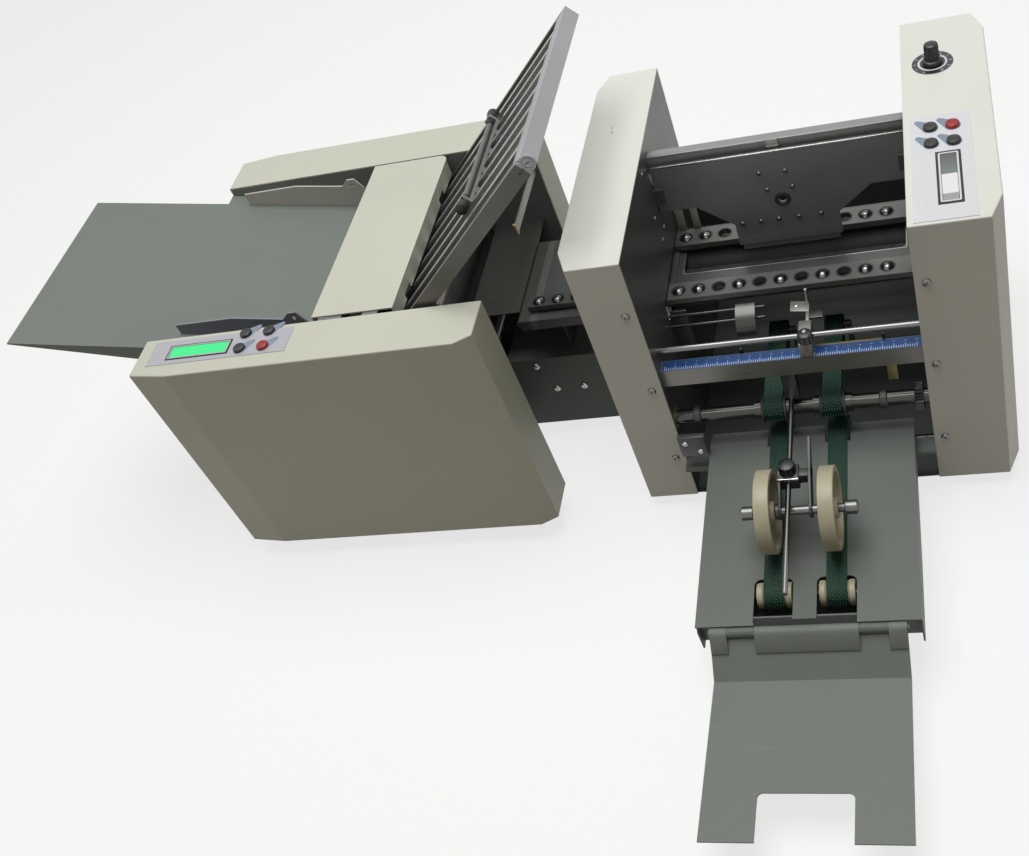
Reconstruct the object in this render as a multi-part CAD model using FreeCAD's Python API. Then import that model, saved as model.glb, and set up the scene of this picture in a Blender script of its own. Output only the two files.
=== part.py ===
"""Two-unit desk paper folding machine.

The first unit feeds a sheet down a sloping tray, along +X, and folds it with a tilted
fold plate. The second unit holds the folded sheet on a table under rows of balls, pushes
it between two rollers with a knife, and delivers it on green belts towards -Y, onto a
table and a hinged flap. Millimetres, +Z up, origin under the middle of the whole object.
"""
import FreeCAD, Part
import math
import os

V = FreeCAD.Vector

# Stock and fits
cover_wall = 1.5
plate_wall = 4.0
sheet = 1.5
bend_radius = 1.4
gap = 0.3
run = 0.05
overrun = 5.0
trim = 0.6

# First unit: casing
main_length = 362.0
main_width = 356.0
main_body_height = 263.0
main_foot = 25.0
main_cover_depth = 54.0
main_left_cut = (42.0, 6.0)
main_right_cut = (17.0, 9.0)
bay_length = 66.0
foot_radius = 14.0
foot_inset = 46.0

# Second unit: casing
unit_space = 84.0
cross_left_depth = 60.0
cross_right_depth = 75.0
cross_opening = 239.0
cross_setback = 267.0
cross_length = 303.0
cross_body_height = 310.0
cross_foot = 15.0
cross_end_cut = (27.0, 10.0)
frame_flange = 16.0

# Feed tray and its side guides
tray_drop = 9.0
tray_nip_drop = 52.0
tray_reach = 160.7
tray_to_feeder = 8.0
tray_outer_inset = 15.6
tray_flange = 19.0
guide_sheet = 2.0
guide_start = 26.0
guide_to_feeder = 16.0
guide_foot = 10.0
guide_over = 0.5
guide_fall = 9.5
near_guide_inset = 20.0
far_guide_inset = 16.0
guide_bend = 64.0
guide_ear = 12.0
guide_ear_rise = 7.0
guide_ear_shares = (2.0, 1.3, 0.6)
guide_hole_radius = 2.2

# Lift-off cover over the feed rollers
feeder_before_nip = 48.0
feeder_length = 86.0
feeder_near_margin = 6.0
feeder_far_margin = 2.0
feeder_flange = 18.0
feeder_lip = 8.0
feeder_corner = 9.0
feeder_notch_places = (0.13, 0.74)
feeder_notch_share = 0.075
rest_tab = 16.0
rest_reach = 12.0

# Rollers
roller_radius = 15.0
roller_space = 0.3
roller_end_room = 4.0
shaft_radius = 6.0
shaft_tail = 16.0
bush_wall = 4.0
nip_before_bay = 64.0
nip_drop = 62.5
upper_angle = math.radians(42.5)
third_roller_angle = math.radians(-20.0)
gear_teeth = 20
gear_width = 8.0
gear_room = 4.0
gear_addendum_share = 0.075
gear_dedendum_share = 0.1
tooth_root_share = 0.33
tooth_tip_share = 0.15
feed_wheel_radius = 16.0
feed_wheel_length = 60.0
wheel_before_nip = 35.0
feed_shaft_radius = 5.0
paper_room = 1.0

# Upper fold plate
upper_length = 296.0
upper_start = 18.0
upper_rail = 6.0
upper_rail_over = 5.0
upper_rail_under = 10.5
upper_side_room = 4.0
upper_end_bar = 6.0
paper_half_gap = 2.0
bar_width = 8.0
bar_thick = 3.0
bar_count = 7
end_boss_radius = 8.0
end_boss_thick = 2.0
end_boss_inset = 9.0
end_boss_slot = 2.0
hook_radius = 4.0
hook_along = 24.0
hook_under = 8.0
stop_along = 180.0
stop_width = 10.0
stop_thick = 3.0
stop_finger = 8.0
stop_ear = 3.0
clamp_shaft_radius = 2.5
stop_knob_radius = 6.0
stop_knob_length = 11.0
stop_knob_inset = 44.0

# Lower fold plate
lower_start = 14.0
lower_length = 151.0
lower_side = 4.0
lower_half = 6.0

# Tie bars, motors and electrics
tie_radius = 5.0
exit_arm_margin = 4.0
exit_arm_drop = 38.0
exit_arm_reach = 104.0
exit_arm_depth = 10.0
motor_radius = 18.0
motor_end_room = 12.0
supply_size = (120.0, 34.0, 70.0)
supply_place = (44.0, 38.0)
board_thick = 1.6
inlet_size = (28.0, 20.0)
inlet_depth = 24.0
inlet_rise = 50.0
inlet_flange = 3.0
inlet_wall = 2.5
blade_size = (2.0, 4.0)
blade_length = 11.0
blade_pitch = 7.0

# Control panels
panel_main = (14.5, 16.5, 155.0, 33.0)
panel_cross = (5.0, 3.0, 51.0, 143.0)
display_size = (66.0, 16.0)
display_bezel = 2.0
display_depth = 9.0
display_main = (70.0, 32.0)
display_cross = (35.5, 57.0)
button_radius = 6.0
button_rise = 2.4
button_travel = 1.5
button_rim = 1.2
button_rim_thick = 2.0
main_button_start = (118.0, 26.0)
main_button_pitch = (25.5, 20.5)
cross_button_start = (22.5, 104.3)
cross_button_pitch = (18.5, 23.0)
dial_place = (28.0, 228.0)
dial_radius = 18.5
knob_radius = 6.5
knob_height = 19.0
knob_skirt_radius = 9.0
knob_skirt = 4.0
knob_shaft_radius = 3.0
pot_radius = 9.0
pot_depth = 12.0

# Transfer between the units
transfer_overlap = 15.5
transfer_inset = 97.0
transfer_width = 126.0
exit_fall = 0.8
transfer_lip = 4.0
transfer_flange = 12.0
lead_in_overlap = 6.0
slot_room = 10.0
bridge_room = 12.0
bridge_inset = 115.0
bridge_far_room = 6.0
bridge_drop = 70.0
bridge_foot_rise = 5.0
bridge_wall = 2.0
web_place = 18.0
hook_width = 20.0
hook_height = 20.0
hook_base = 44.0
base_lip = 45.0

# Register table, balls and knife
register_fall = 2.0
register_inset = 98.0
register_depth = 117.0
window_side = 11.0
window_before_knife = 23.5
window_after_knife = 16.5
window_corner = 8.0
rail_width = 24.0
rail_thick = 6.0
front_rail_inset = 96.0
rear_rail_inset = 177.0
ball_radius = 6.0
ball_hole_room = 0.25
ball_first = 11.0
ball_last = 28.0
ball_pattern = "xx-x-x-x-xx"
side_ball_offsets = (24.5, 44.5, 64.5)
side_rail_length = 86.0
side_rail_width = 16.0
side_rail_inset = 11.0
knife_inset = 166.5
knife_thick = 3.0
knife_drop = 24.0
knife_shoulder_share = 0.547
knife_neck_share = 0.308
knife_bottom_share = 0.085
knife_shoulder_half_share = 0.703
knife_neck_half_share = 0.427
edge_thick = 1.2
edge_half_share = 0.402
edge_rise = 3.5
edge_height = 19.0
knife_hole_radius = 4.0
knife_hole_drop = 4.0
knife_side_room = 1.0
guide_block = 9.0
guide_block_thick = 4.0
guide_block_shares = (0.65, 0.8)
cross_roller_drop = 21.0
top_bar_room = 4.0
top_bar_thick = 11.0
top_bar_height = 18.0
top_bar_drop = 16.5
clip_width = 12.0
rear_panel_inset = 10.5
rear_panel_height = 180.0

# Ruler, guide rod and rod clamp
ruler_inset = 11.0
ruler_depth = 14.0
ruler_drop = 24.0
ruler_height = 20.0
guide_rod_radius = 3.0
guide_rod_inset = 23.0
guide_rod_rise = 12.0
clamp_from_middle = 19.5
clamp_width = 13.0
clamp_block = 14.0
clamp_arm_reach = 34.0
clamp_arm_thick = 4.0
clamp_plate = (20.0, 14.0)
clamp_pin_radius = 2.0
clamp_pin_height = 16.0
clamp_knob_radius = 7.0
clamp_knob_height = 10.0

# Delivery belts
belts_from_middle = (-23.5, 31.5)
belt_width = 18.0
belt_thick = 1.5
upper_belt_drum = 10.0
upper_drum_room = 3.0
upper_shaft_radius = 7.0
upper_shaft_inset = 15.0
upper_shaft_rise = 100.0
nose_radius = 8.0
nose_reach = 108.0
collar_radius = 9.0
collar_length = 6.0
drive_drum = 28.0
drive_shaft_radius = 5.0
drive_shaft_inset = 12.5
drive_shaft_rise = 41.8
tail_drum = 11.0
tail_drum_length = 31.0
tail_axle_radius = 3.0
tail_reach = 177.0
tail_rise = 49.4
pulley_radius = 8.5
pulley_width = 9.0
timing_belt_thick = 1.5

# Delivery table
table_insets = (27.5, 17.5)
table_far_inset = 4.0
table_length = 205.0
table_flange = 20.0
table_near_flange = 36.0
table_lip = 17.0
table_lip_fall = 5.0
floor_inset = 8.0
floor_length = 70.0
table_hook_reach = 17.0
belt_slot_width = 34.5
belt_slot_length = 46.5
belt_slot_corner = 6.0
tongue_short = 5.0
belt_relief = 9.0
hinge_pin_radius = 2.5
hinge_wall = 2.2
hinge_drop = 6.0
hinge_beyond = 3.0
tab_width = 24.0
tab_inset = 28.0
knuckle_width = 17.0

# Delivery flap
flap_inset = 12.5
flap_bend_reach = 34.0
flap_bend_height = 38.0
flap_end_reach = 184.0
flap_end_height = 48.0
flap_notch_width = 78.0
flap_notch_length = 43.0
flap_notch_corner = 5.0

# Stacker: rod, carrier and wheels
rod_from_middle = 4.0
rod_radius = 2.5
rod_over_belt = 48.5
rod_far_inset = 18.0
rod_reach = 205.0
hanger_width = 13.0
wheel_radius = 37.5
wheel_width = 13.5
wheel_rim = 5.0
wheel_web = 3.0
wheel_hub_radius = 9.0
wheel_reach = 110.5
axle_radius = 4.0
axle_beyond = 17.0
axle_collar_radius = 6.0
axle_collar = 11.0
carrier_reach = 82.5
carrier_length = 13.0
carrier_width = 17.0
carrier_depth = 12.0
carrier_knob_radius = 7.0
carrier_knob_height = 10.0
arm_thick = 2.5
arm_height = 8.0
arm_places = (1.0, 9.0)
hold_down_reach = 49.0
hold_down_height = 26.0

# Screws
head_radius = 4.0
head_height = 2.2
screw_radius = 1.9
screw_length = 7.0
screw_inset = 10.0
screw_slot = 1.0
cover_screw_shares = (0.187, 0.497, 0.806)
bridge_screw_drops = ((31.0, 10.0), (44.0, 45.0), (75.0, 45.0))

# Places worked out from the sizes above
main_top = main_foot + main_body_height
main_near_face = main_cover_depth
motor_length = main_cover_depth - plate_wall - motor_end_room
main_far_face = main_width - main_cover_depth
main_base_end = main_length - bay_length
frame_top = main_top - cover_wall
feeder_start = main_base_end - nip_before_bay - feeder_before_nip
nip_x = main_base_end - nip_before_bay
nip_height = main_top - nip_drop
tray_mouth_height = main_top - tray_drop
tray_inner = feeder_start - tray_to_feeder
guide_length = feeder_start - guide_to_feeder - guide_start
guide_top_left = main_top + guide_over
guide_top_right = guide_top_left - guide_fall
near_guide_place = main_near_face + near_guide_inset
far_guide_place = main_far_face - far_guide_inset
inlet_height = main_foot + inlet_rise
cross_near = main_far_face - cross_setback
cross_left_out = main_length + unit_space
cross_left_face = cross_left_out + cross_left_depth
cross_right_face = cross_left_face + cross_opening
cross_right_out = cross_right_face + cross_right_depth
cross_far = cross_near + cross_length
cross_top = cross_foot + cross_body_height
cross_middle = (cross_left_face + cross_right_face) / 2
roller_half = roller_radius + roller_space / 2
transfer_start = main_length - transfer_overlap
transfer_near = cross_near + transfer_inset
bridge_start = main_base_end + bridge_room
bridge_near = cross_near + bridge_inset
bridge_far = main_far_face - bridge_far_room
register_near = cross_near + register_inset
knife_y = cross_near + knife_inset
window_near = knife_y - window_before_knife
window_far = knife_y + window_after_knife
belt_places = tuple(cross_middle + offset for offset in belts_from_middle)
upper_shaft_y = cross_near + upper_shaft_inset
upper_shaft_height = cross_foot + upper_shaft_rise
nose_y = upper_shaft_y + nose_reach
drive_centre = (cross_near + drive_shaft_inset, cross_foot + drive_shaft_rise)
tail_centre = (drive_centre[0] - tail_reach, cross_foot + tail_rise)
table_start = cross_left_face + table_insets[0]
table_end = cross_right_face - table_insets[1]
table_far = cross_near + table_far_inset
table_near = table_far - table_length
guide_rod_y = cross_near + guide_rod_inset
clamp_x = cross_middle + clamp_from_middle
rod_x = cross_middle - rod_from_middle
carrier_y = cross_near - carrier_reach


class Slope:
    """Directions of a sloping sheet in a side view: along it, and off its upper side."""

    def __init__(self, start, angle):
        self.start = start
        self.along = (math.cos(angle), math.sin(angle))
        self.off = (-math.sin(angle), math.cos(angle))
        self.degrees = math.degrees(angle)

    def at(self, along, off=0):
        first = self.start[0] + along * self.along[0] + off * self.off[0]
        second = self.start[1] + along * self.along[1] + off * self.off[1]
        return (first, second)

    def strip(self, start, end, low, high):
        return [self.at(start, low), self.at(end, low), self.at(end, high), self.at(start, high)]


def middle_of(first, second):
    return ((first[0] + second[0]) / 2, (first[1] + second[1]) / 2)


def step_from(point, distance, angle):
    return (point[0] + distance * math.cos(angle), point[1] + distance * math.sin(angle))


# Lines of the sheet's path through the first unit
tray = Slope((0, tray_mouth_height), -math.atan2(tray_nip_drop - tray_drop, nip_x))
upper = Slope((nip_x, nip_height), upper_angle)
roller_1 = upper.at(0, roller_half)
roller_2 = upper.at(0, -roller_half)
roller_3 = step_from(roller_2, 2 * roller_half, third_roller_angle)
roller_4 = (roller_3[0], roller_3[1] - 2 * roller_half)
lower = Slope(middle_of(roller_2, roller_3), third_roller_angle - math.pi / 2)
feed_wheel_x = nip_x - wheel_before_nip
feed_wheel = (feed_wheel_x, tray.at(feed_wheel_x)[1] + feed_wheel_radius + paper_room)

# Levels of the second unit, which follow the sheet as it leaves the last two rollers
transfer_height = roller_4[1] + roller_half - exit_fall
bridge_top = transfer_height - bridge_drop
register_top = transfer_height - register_fall
cross_roller_height = register_top - cross_roller_drop
ruler_bottom = register_top - ruler_drop
guide_rod_height = register_top + guide_rod_rise
knife_top = cross_top - knife_drop

# Lines of the delivery belts, whose top run is an outer tangent of its two drums
belt_run = math.dist(drive_centre, tail_centre)
belt_tilt = math.atan2(drive_centre[1] - tail_centre[1], drive_centre[0] - tail_centre[0])
belt_tilt += math.asin((drive_drum - tail_drum) / belt_run)
table_slope = Slope(Slope(drive_centre, belt_tilt).at(0, drive_drum), belt_tilt)
table_skin = -gap
belt_over = table_skin + gap + belt_thick


def along_at(slope, place):
    """How far along a slope a level place lies."""
    return (place - slope.start[0]) / slope.along[0]


def table_at(place, off):
    """The point over a place along Y, off the delivery table's slope."""
    return table_slope.at(along_at(table_slope, place), off)


wheel_centre = table_at(cross_near - wheel_reach, belt_over + gap + wheel_radius)
rod_line = Slope(table_slope.at(0, belt_over + rod_over_belt), belt_tilt)
hinge_centre = (table_near - hinge_beyond, table_at(table_near, 0)[1] - hinge_drop)
flap_bend = (table_near - flap_bend_reach, flap_bend_height)
flap_end = (table_near - flap_end_reach, flap_end_height)


def box(x0, x1, y0, y1, z0, z1):
    return Part.makeBox(x1 - x0, y1 - y0, z1 - z0, V(x0, y0, z0))


def rod_along_x(centre, radius, x0, x1):
    return Part.makeCylinder(radius, x1 - x0, V(x0, centre[0], centre[1]), V(1, 0, 0))


def rod_along_y(centre, radius, y0, y1):
    return Part.makeCylinder(radius, y1 - y0, V(centre[0], y0, centre[1]), V(0, 1, 0))


def rod_along_z(centre, radius, z0, z1):
    return Part.makeCylinder(radius, z1 - z0, V(centre[0], centre[1], z0), V(0, 0, 1))


def prism(corners, push):
    face = Part.Face(Part.makePolygon(corners + corners[:1]))
    solid = face.extrude(push)
    if solid.Volume < 0:
        solid.reverse()
    return solid


def slab_x(points, x0, x1):
    return prism([V(x0, y, z) for y, z in points], V(x1 - x0, 0, 0))


def slab_y(points, y0, y1):
    return prism([V(x, y0, z) for x, z in points], V(0, y1 - y0, 0))


def slab_z(points, z0, z1):
    return prism([V(x, y, z0) for x, y in points], V(0, 0, z1 - z0))


def fuse(*solids):
    body = solids[0]
    for other in solids[1:]:
        body = body.fuse(other)
    return body.removeSplitter()


def cut(body, *tools):
    for tool in tools:
        body = body.cut(tool)
    return body


def group(*solids):
    return Part.makeCompound(list(solids))


def rounded_box(x0, x1, y0, y1, z0, z1, radius, axis=2):
    """A box whose edges along one axis are rounded."""
    body = box(x0, x1, y0, y1, z0, z1)
    edges = []
    for edge in body.Edges:
        ends = [vertex.Point for vertex in edge.Vertexes]
        span = ends[1] - ends[0]
        if abs(span[axis]) > 0 and span.Length - abs(span[axis]) < run:
            edges.append(edge)
    return body.makeFillet(radius, edges)


def side_line(first, second, distance):
    """A side of an anticlockwise outline, moved inwards."""
    length = math.dist(first, second)
    step = ((second[0] - first[0]) / length, (second[1] - first[1]) / length)
    inward = (-step[1] * distance, step[0] * distance)
    return (first[0] + inward[0], first[1] + inward[1]), step


def crossing(one, other):
    (x0, y0), (ux, uy) = one
    (x1, y1), (vx, vy) = other
    reach = ((x1 - x0) * vy - (y1 - y0) * vx) / (ux * vy - uy * vx)
    return (x0 + reach * ux, y0 + reach * uy)


def inset(points, distance):
    """Move every side of an anticlockwise outline inwards."""
    moved = []
    for place, point in enumerate(points):
        before = side_line(points[place - 1], point, distance)
        after = side_line(point, points[(place + 1) % len(points)], distance)
        moved.append(crossing(before, after))
    return moved


def side_outline(length, depth, start_cut, end_cut):
    """A casing seen from above: length, then depth from its outer side."""
    return [(0, start_cut[1]), (start_cut[0], 0), (length - end_cut[0], 0),
            (length, end_cut[1]), (length, depth), (0, depth)]


def side_casing(length, depth, cuts, place, bottom, top):
    """A bent sheet casing, open below and on its inner side."""
    outline = [place(*point) for point in side_outline(length, depth, *cuts)]
    outer = slab_z(outline, bottom, top)
    inner_edge = [V(*place(0, depth), 0), V(*place(length, depth), 0)]
    open_side = inner_edge[1] - inner_edge[0]
    rounded = []
    for edge in outer.Edges:
        middle = edge.CenterOfMass
        flat = V(middle.x, middle.y, 0) - inner_edge[0]
        if middle.z - bottom > run and flat.cross(open_side).Length / open_side.Length > run:
            rounded.append(edge)
    outer = outer.makeFillet(bend_radius, rounded)
    deeper = side_outline(length, depth + cover_wall + overrun, *cuts)
    hollow = [place(*point) for point in inset(deeper, cover_wall)]
    return cut(outer, slab_z(hollow, bottom - overrun, top - cover_wall))


def near_place(along, depth):
    return (along, depth)


def far_place(along, depth):
    return (along, main_width - depth)


def left_place(along, depth):
    return (cross_left_out + depth, cross_near + along)


def right_place(along, depth):
    return (cross_right_out - depth, cross_near + along)


def main_button_centres():
    x0, y0 = main_button_start
    return [(x0 + column * main_button_pitch[0], y0 + row * main_button_pitch[1])
            for row in (0, 1) for column in (0, 1)]


def cross_button_centres():
    x0 = cross_right_face + cross_button_start[0]
    y0 = cross_near + cross_button_start[1]
    return [(x0 + column * cross_button_pitch[0], y0 + row * cross_button_pitch[1])
            for row in (0, 1) for column in (0, 1)]


def main_display_centre():
    return display_main


def cross_display_centre():
    return (cross_right_face + display_cross[0], cross_near + display_cross[1])


def dial_centre():
    return (cross_right_face + dial_place[0], cross_near + dial_place[1])


def display_block(centre, turned, room, z0, z1):
    """The display's block, or the window that it stands in when given room."""
    width, depth = display_size[::-1] if turned else display_size
    half_x = width / 2 + display_bezel + room
    half_y = depth / 2 + display_bezel + room
    return box(centre[0] - half_x, centre[0] + half_x, centre[1] - half_y, centre[1] + half_y, z0, z1)


def button_holes(centres, z0, z1):
    return [rod_along_z(centre, button_radius + gap, z0, z1) for centre in centres]


def main_near_cover():
    body = side_casing(main_length, main_cover_depth, (main_left_cut, main_right_cut),
                       near_place, main_foot, main_top)
    window = display_block(main_display_centre(), False, gap, frame_top - overrun, main_top + overrun)
    holes = button_holes(main_button_centres(), frame_top - overrun, main_top + overrun)
    return cut(body, window, *holes)


def inlet_middle():
    return (main_width - main_cover_depth / 2, inlet_height)


def main_far_cover():
    body = side_casing(main_length, main_cover_depth, (main_left_cut, main_right_cut),
                       far_place, main_foot, main_top)
    y, z = inlet_middle()
    half_y, half_z = inlet_size[0] / 2, inlet_size[1] / 2
    return cut(body, box(-overrun, overrun, y - half_y, y + half_y, z - half_z, z + half_z))


def cross_left_cover():
    body = side_casing(cross_length, cross_left_depth, (cross_end_cut, cross_end_cut),
                       left_place, cross_foot, cross_top)
    return cut(body, transfer_slot(cross_left_out - overrun, cross_left_out + overrun))


def cross_right_cover():
    body = side_casing(cross_length, cross_right_depth, (cross_end_cut, cross_end_cut),
                       right_place, cross_foot, cross_top)
    low, high = cross_top - cover_wall - overrun, cross_top + overrun
    window = display_block(cross_display_centre(), True, gap, low, high)
    holes = button_holes(cross_button_centres(), low, high)
    shaft_hole = rod_along_z(dial_centre(), knob_shaft_radius + gap, low, high)
    return cut(body, window, shaft_hole, *holes)


def transfer_slot(x0, x1):
    """The way through the second unit's left side for the sheet and its table."""
    return box(x0, x1, transfer_near - slot_room, transfer_near + transfer_width + slot_room,
               transfer_height - transfer_flange - slot_room, transfer_height + slot_room)


def main_shafts():
    """Shaft centres and radii in the first unit's frame plates."""
    rollers = [(centre, shaft_radius) for centre in (roller_1, roller_2, roller_3, roller_4)]
    return rollers + [(feed_wheel, feed_shaft_radius)]


def cross_rollers():
    return [(knife_y - roller_half, cross_roller_height), (knife_y + roller_half, cross_roller_height)]


def cross_shafts():
    rollers = [(centre, shaft_radius) for centre in cross_rollers()]
    belts = [((upper_shaft_y, upper_shaft_height), upper_shaft_radius), (drive_centre, drive_shaft_radius)]
    return rollers + belts


def main_frame_plate(y0, y1):
    end_room = cover_wall + gap
    body = box(end_room, main_length - end_room, y0, y1, main_foot + sheet, frame_top)
    return cut(body, *[rod_along_y(centre, radius + bush_wall, y0, y1) for centre, radius in main_shafts()])


def button_room(centre, top):
    """The space that a button and its rim need below a casing's top."""
    low = button_bottom(top) - button_travel - gap
    return rod_along_z(centre, button_radius + button_rim + gap, low, top)


def main_frame_plates():
    """Both side plates, with the tabs that carry the lift-off cover."""
    plates = []
    rooms = [button_room(centre, main_top) for centre in main_button_centres()]
    for face, away in ((main_near_face, -1), (main_far_face, 1)):
        low, high = sorted((face, face + away * plate_wall))
        plate = main_frame_plate(low, high)
        for start in (feeder_start + rest_tab, feeder_start + feeder_length - 2 * rest_tab):
            low, high = sorted((face, face - away * rest_reach))
            tab = box(start, start + rest_tab, low, high, frame_top - gap - sheet, frame_top - gap)
            plate = plate.fuse(tab)
        plates.append(cut(plate.removeSplitter(), *rooms))
    return group(*plates)


def knife_level(share):
    """A height on the knife, as a share of the way from the register table to its top."""
    return register_top + share * (knife_top - register_top)


def knife_guides(face, inward):
    """Two strips that the knife slides between, on one frame plate."""
    low, high = sorted((face, face + inward * guide_block))
    half = knife_thick / 2 + gap
    foot_level, head_level = [knife_level(share) for share in guide_block_shares]
    strips = []
    for y0, y1 in ((knife_y - half - guide_block_thick, knife_y - half),
                   (knife_y + half, knife_y + half + guide_block_thick)):
        strips.append(box(low, high, y0, y1, foot_level, head_level))
    return strips


def cross_frame_plate(face, away):
    low, high = sorted((face, face + away * plate_wall))
    y0 = cross_near + cover_wall + gap
    y1 = cross_far - cover_wall - gap
    body = box(low, high, y0, y1, cross_foot + sheet, cross_top - cover_wall)
    ends = sorted((face, face + away * frame_flange))
    for start in (y0, y1 - plate_wall):
        body = body.fuse(box(ends[0], ends[1], start, start + plate_wall, cross_foot + sheet,
                             cross_top - cover_wall))
    for strip in knife_guides(face, -away):
        body = body.fuse(strip)
    body = body.removeSplitter()
    seats = [rod_along_x(centre, radius + bush_wall, low, high) for centre, radius in cross_shafts()]
    return cut(body, *seats)


def cross_frame_plates():
    left = cross_frame_plate(cross_left_face, -1)
    left = cut(left, transfer_slot(cross_left_face - plate_wall - overrun, cross_left_face + overrun))
    right = cross_frame_plate(cross_right_face, 1)
    return group(left, right)


def base_pans():
    lip = box(main_base_end - sheet, main_base_end, main_near_face, main_far_face,
              main_foot, main_foot + base_lip)
    room = cover_wall + gap
    floor = box(main_left_cut[0], main_base_end, room, main_width - room, main_foot, main_foot + sheet)
    floor = floor.fuse(box(room, main_left_cut[0], main_left_cut[1] + room,
                           main_width - main_left_cut[1] - room, main_foot, main_foot + sheet))
    cross_floor = box(cross_left_out + cross_end_cut[1] + room, cross_right_out - cross_end_cut[1] - room,
                      cross_near + room, cross_far - room, cross_foot, cross_foot + sheet)
    return group(fuse(floor, lip), cross_floor)


def foot(x, y, height):
    return rod_along_z((x, y), foot_radius, 0, height)


def rubber_feet():
    feet = []
    for x in (foot_inset, main_base_end - foot_inset):
        for y in (foot_inset, main_width - foot_inset):
            feet.append(foot(x, y, main_foot))
    for x in (cross_left_out + cross_left_depth / 2, cross_right_out - cross_right_depth / 2):
        for y in (cross_near + foot_inset, cross_far - foot_inset):
            feet.append(foot(x, y, cross_foot))
    return group(*feet)


def main_tie(x, z):
    return rod_along_y((x, z), tie_radius, main_near_face, main_far_face)


def main_tie_bars():
    """Cross rods of the first unit, and the small arm over the exit."""
    under_tray = -(sheet + tie_radius + gap)
    bars = [main_tie(*tray.at(tie_radius + cover_wall + gap, under_tray)),
            main_tie(*tray.at(tray_inner - 4 * tie_radius, under_tray)),
            main_tie(*upper.at(hook_along * 4, -(upper_rail_under + tie_radius + gap))),
            main_tie(main_length / 4, main_foot + base_lip),
            main_tie(main_base_end - 2 * tie_radius, main_foot + base_lip * 2)]
    arm_x, arm_top = main_length - exit_arm_margin, main_top - exit_arm_drop + exit_arm_depth
    arm = box(arm_x - sheet, arm_x, main_far_face - exit_arm_reach, main_far_face,
              arm_top - exit_arm_depth, arm_top)
    return group(*bars, arm)


def belt_bed(x):
    """The fixed bed inside an upper belt, with a round nose and a foot on the cross rod."""
    half = belt_width / 2 - sheet
    bar_y, bar_z = nose_y, cross_roller_height / 2
    centre = (nose_y, upper_shaft_height)
    nose = rod_along_x(centre, nose_radius, x - half, x + half)
    plank = box(x - half, x + half, upper_shaft_y + upper_belt_drum + overrun, nose_y,
                upper_shaft_height - nose_radius, upper_shaft_height + nose_radius)
    side = x + belt_width / 2 + 2 * belt_thick
    leg = box(side, side + plate_wall, bar_y - tie_radius, bar_y + tie_radius, bar_z,
              upper_shaft_height)
    pin = rod_along_x(centre, tie_radius - sheet, x, side + plate_wall)
    body = fuse(nose, plank, leg, pin)
    return cut(body, rod_along_x((bar_y, bar_z), tie_radius, side - overrun, side + 2 * overrun))


def feed_tray():
    """The sloping sheet, wider between the frame plates, with tapered side flanges outside."""
    near = main_near_face + gap * 2
    outside_far = main_far_face - tray_outer_inset
    outside = slab_y(tray.strip(-tray_reach, 0, -sheet, 0), near, outside_far)
    inside = slab_y(tray.strip(0, tray_inner, -sheet, 0), near, main_far_face - gap * 2)
    body = fuse(outside, inside)
    tip = tray.at(-tray_reach, -sheet)
    mouth = tray.at(-gap * 2, -sheet)
    deep = tray.at(-gap * 2, -tray_flange)
    for y in (near, outside_far - sheet):
        body = body.fuse(slab_y([tip, deep, mouth], y, y + sheet))
    return body.removeSplitter()


def guide_outline():
    """A side guide seen from the side: foot on the tray, and an ear at the feed end."""
    end = guide_start + guide_length
    floor = [tray.at(along_at(tray, x), gap) for x in (guide_start, end)]
    waist, ear_start, ear_end = [end - share * guide_ear for share in guide_ear_shares]
    return [floor[0], floor[1], (end, guide_top_right - guide_ear / 2),
            (ear_end, guide_top_right + guide_ear_rise), (ear_start, guide_top_right + guide_ear_rise),
            (waist, guide_top_right), (guide_start + guide_bend, guide_top_left),
            (guide_start, guide_top_left)]


def side_guide(place, inward):
    """One side guide: a standing sheet, its foot and a hole in its ear."""
    end = guide_start + guide_length
    plate = slab_y(guide_outline(), place - guide_sheet / 2, place + guide_sheet / 2)
    low, high = sorted((place + inward * guide_sheet / 2, place - inward * guide_foot))
    foot_strip = slab_y(tray.strip(along_at(tray, guide_start), along_at(tray, end), gap, gap + guide_sheet),
                        low, high)
    hole_centre = (end - guide_ear, guide_top_right)
    hole = rod_along_y(hole_centre, guide_hole_radius, place - overrun, place + overrun)
    return cut(fuse(plate, foot_strip), hole)


def near_side_guide():
    return side_guide(near_guide_place, 1)


def far_side_guide():
    return side_guide(far_guide_place, -1)


def feeder_cover():
    """The lift-off cover with its notched flange, flush with the casings."""
    x0, x1 = feeder_start, feeder_start + feeder_length
    y0 = main_near_face + feeder_near_margin
    y1 = main_far_face - feeder_far_margin
    z0, z1 = frame_top, main_top
    top = box(x0, x1, y0, y1, z0, z1)
    corner = [edge for edge in top.Edges
              if edge.BoundBox.XMin > x1 - sheet and edge.BoundBox.YMin > y1 - sheet]
    top = top.makeFillet(feeder_corner, corner)
    flange = box(x1 - sheet, x1, y0, y1 - feeder_corner, main_top - feeder_flange, z1)
    lip = box(x0, x0 + sheet, y0, y1, main_top - feeder_lip, z1)
    body = fuse(top, flange, lip)
    for place in feeder_notch_places:
        start = y0 + place * (y1 - y0)
        body = body.cut(box(x1 - sheet - overrun, x1 + overrun, start, start + feeder_notch_share * (y1 - y0),
                            main_top - feeder_flange - overrun, main_top - feeder_flange * 2 / 3))
    return body


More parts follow.
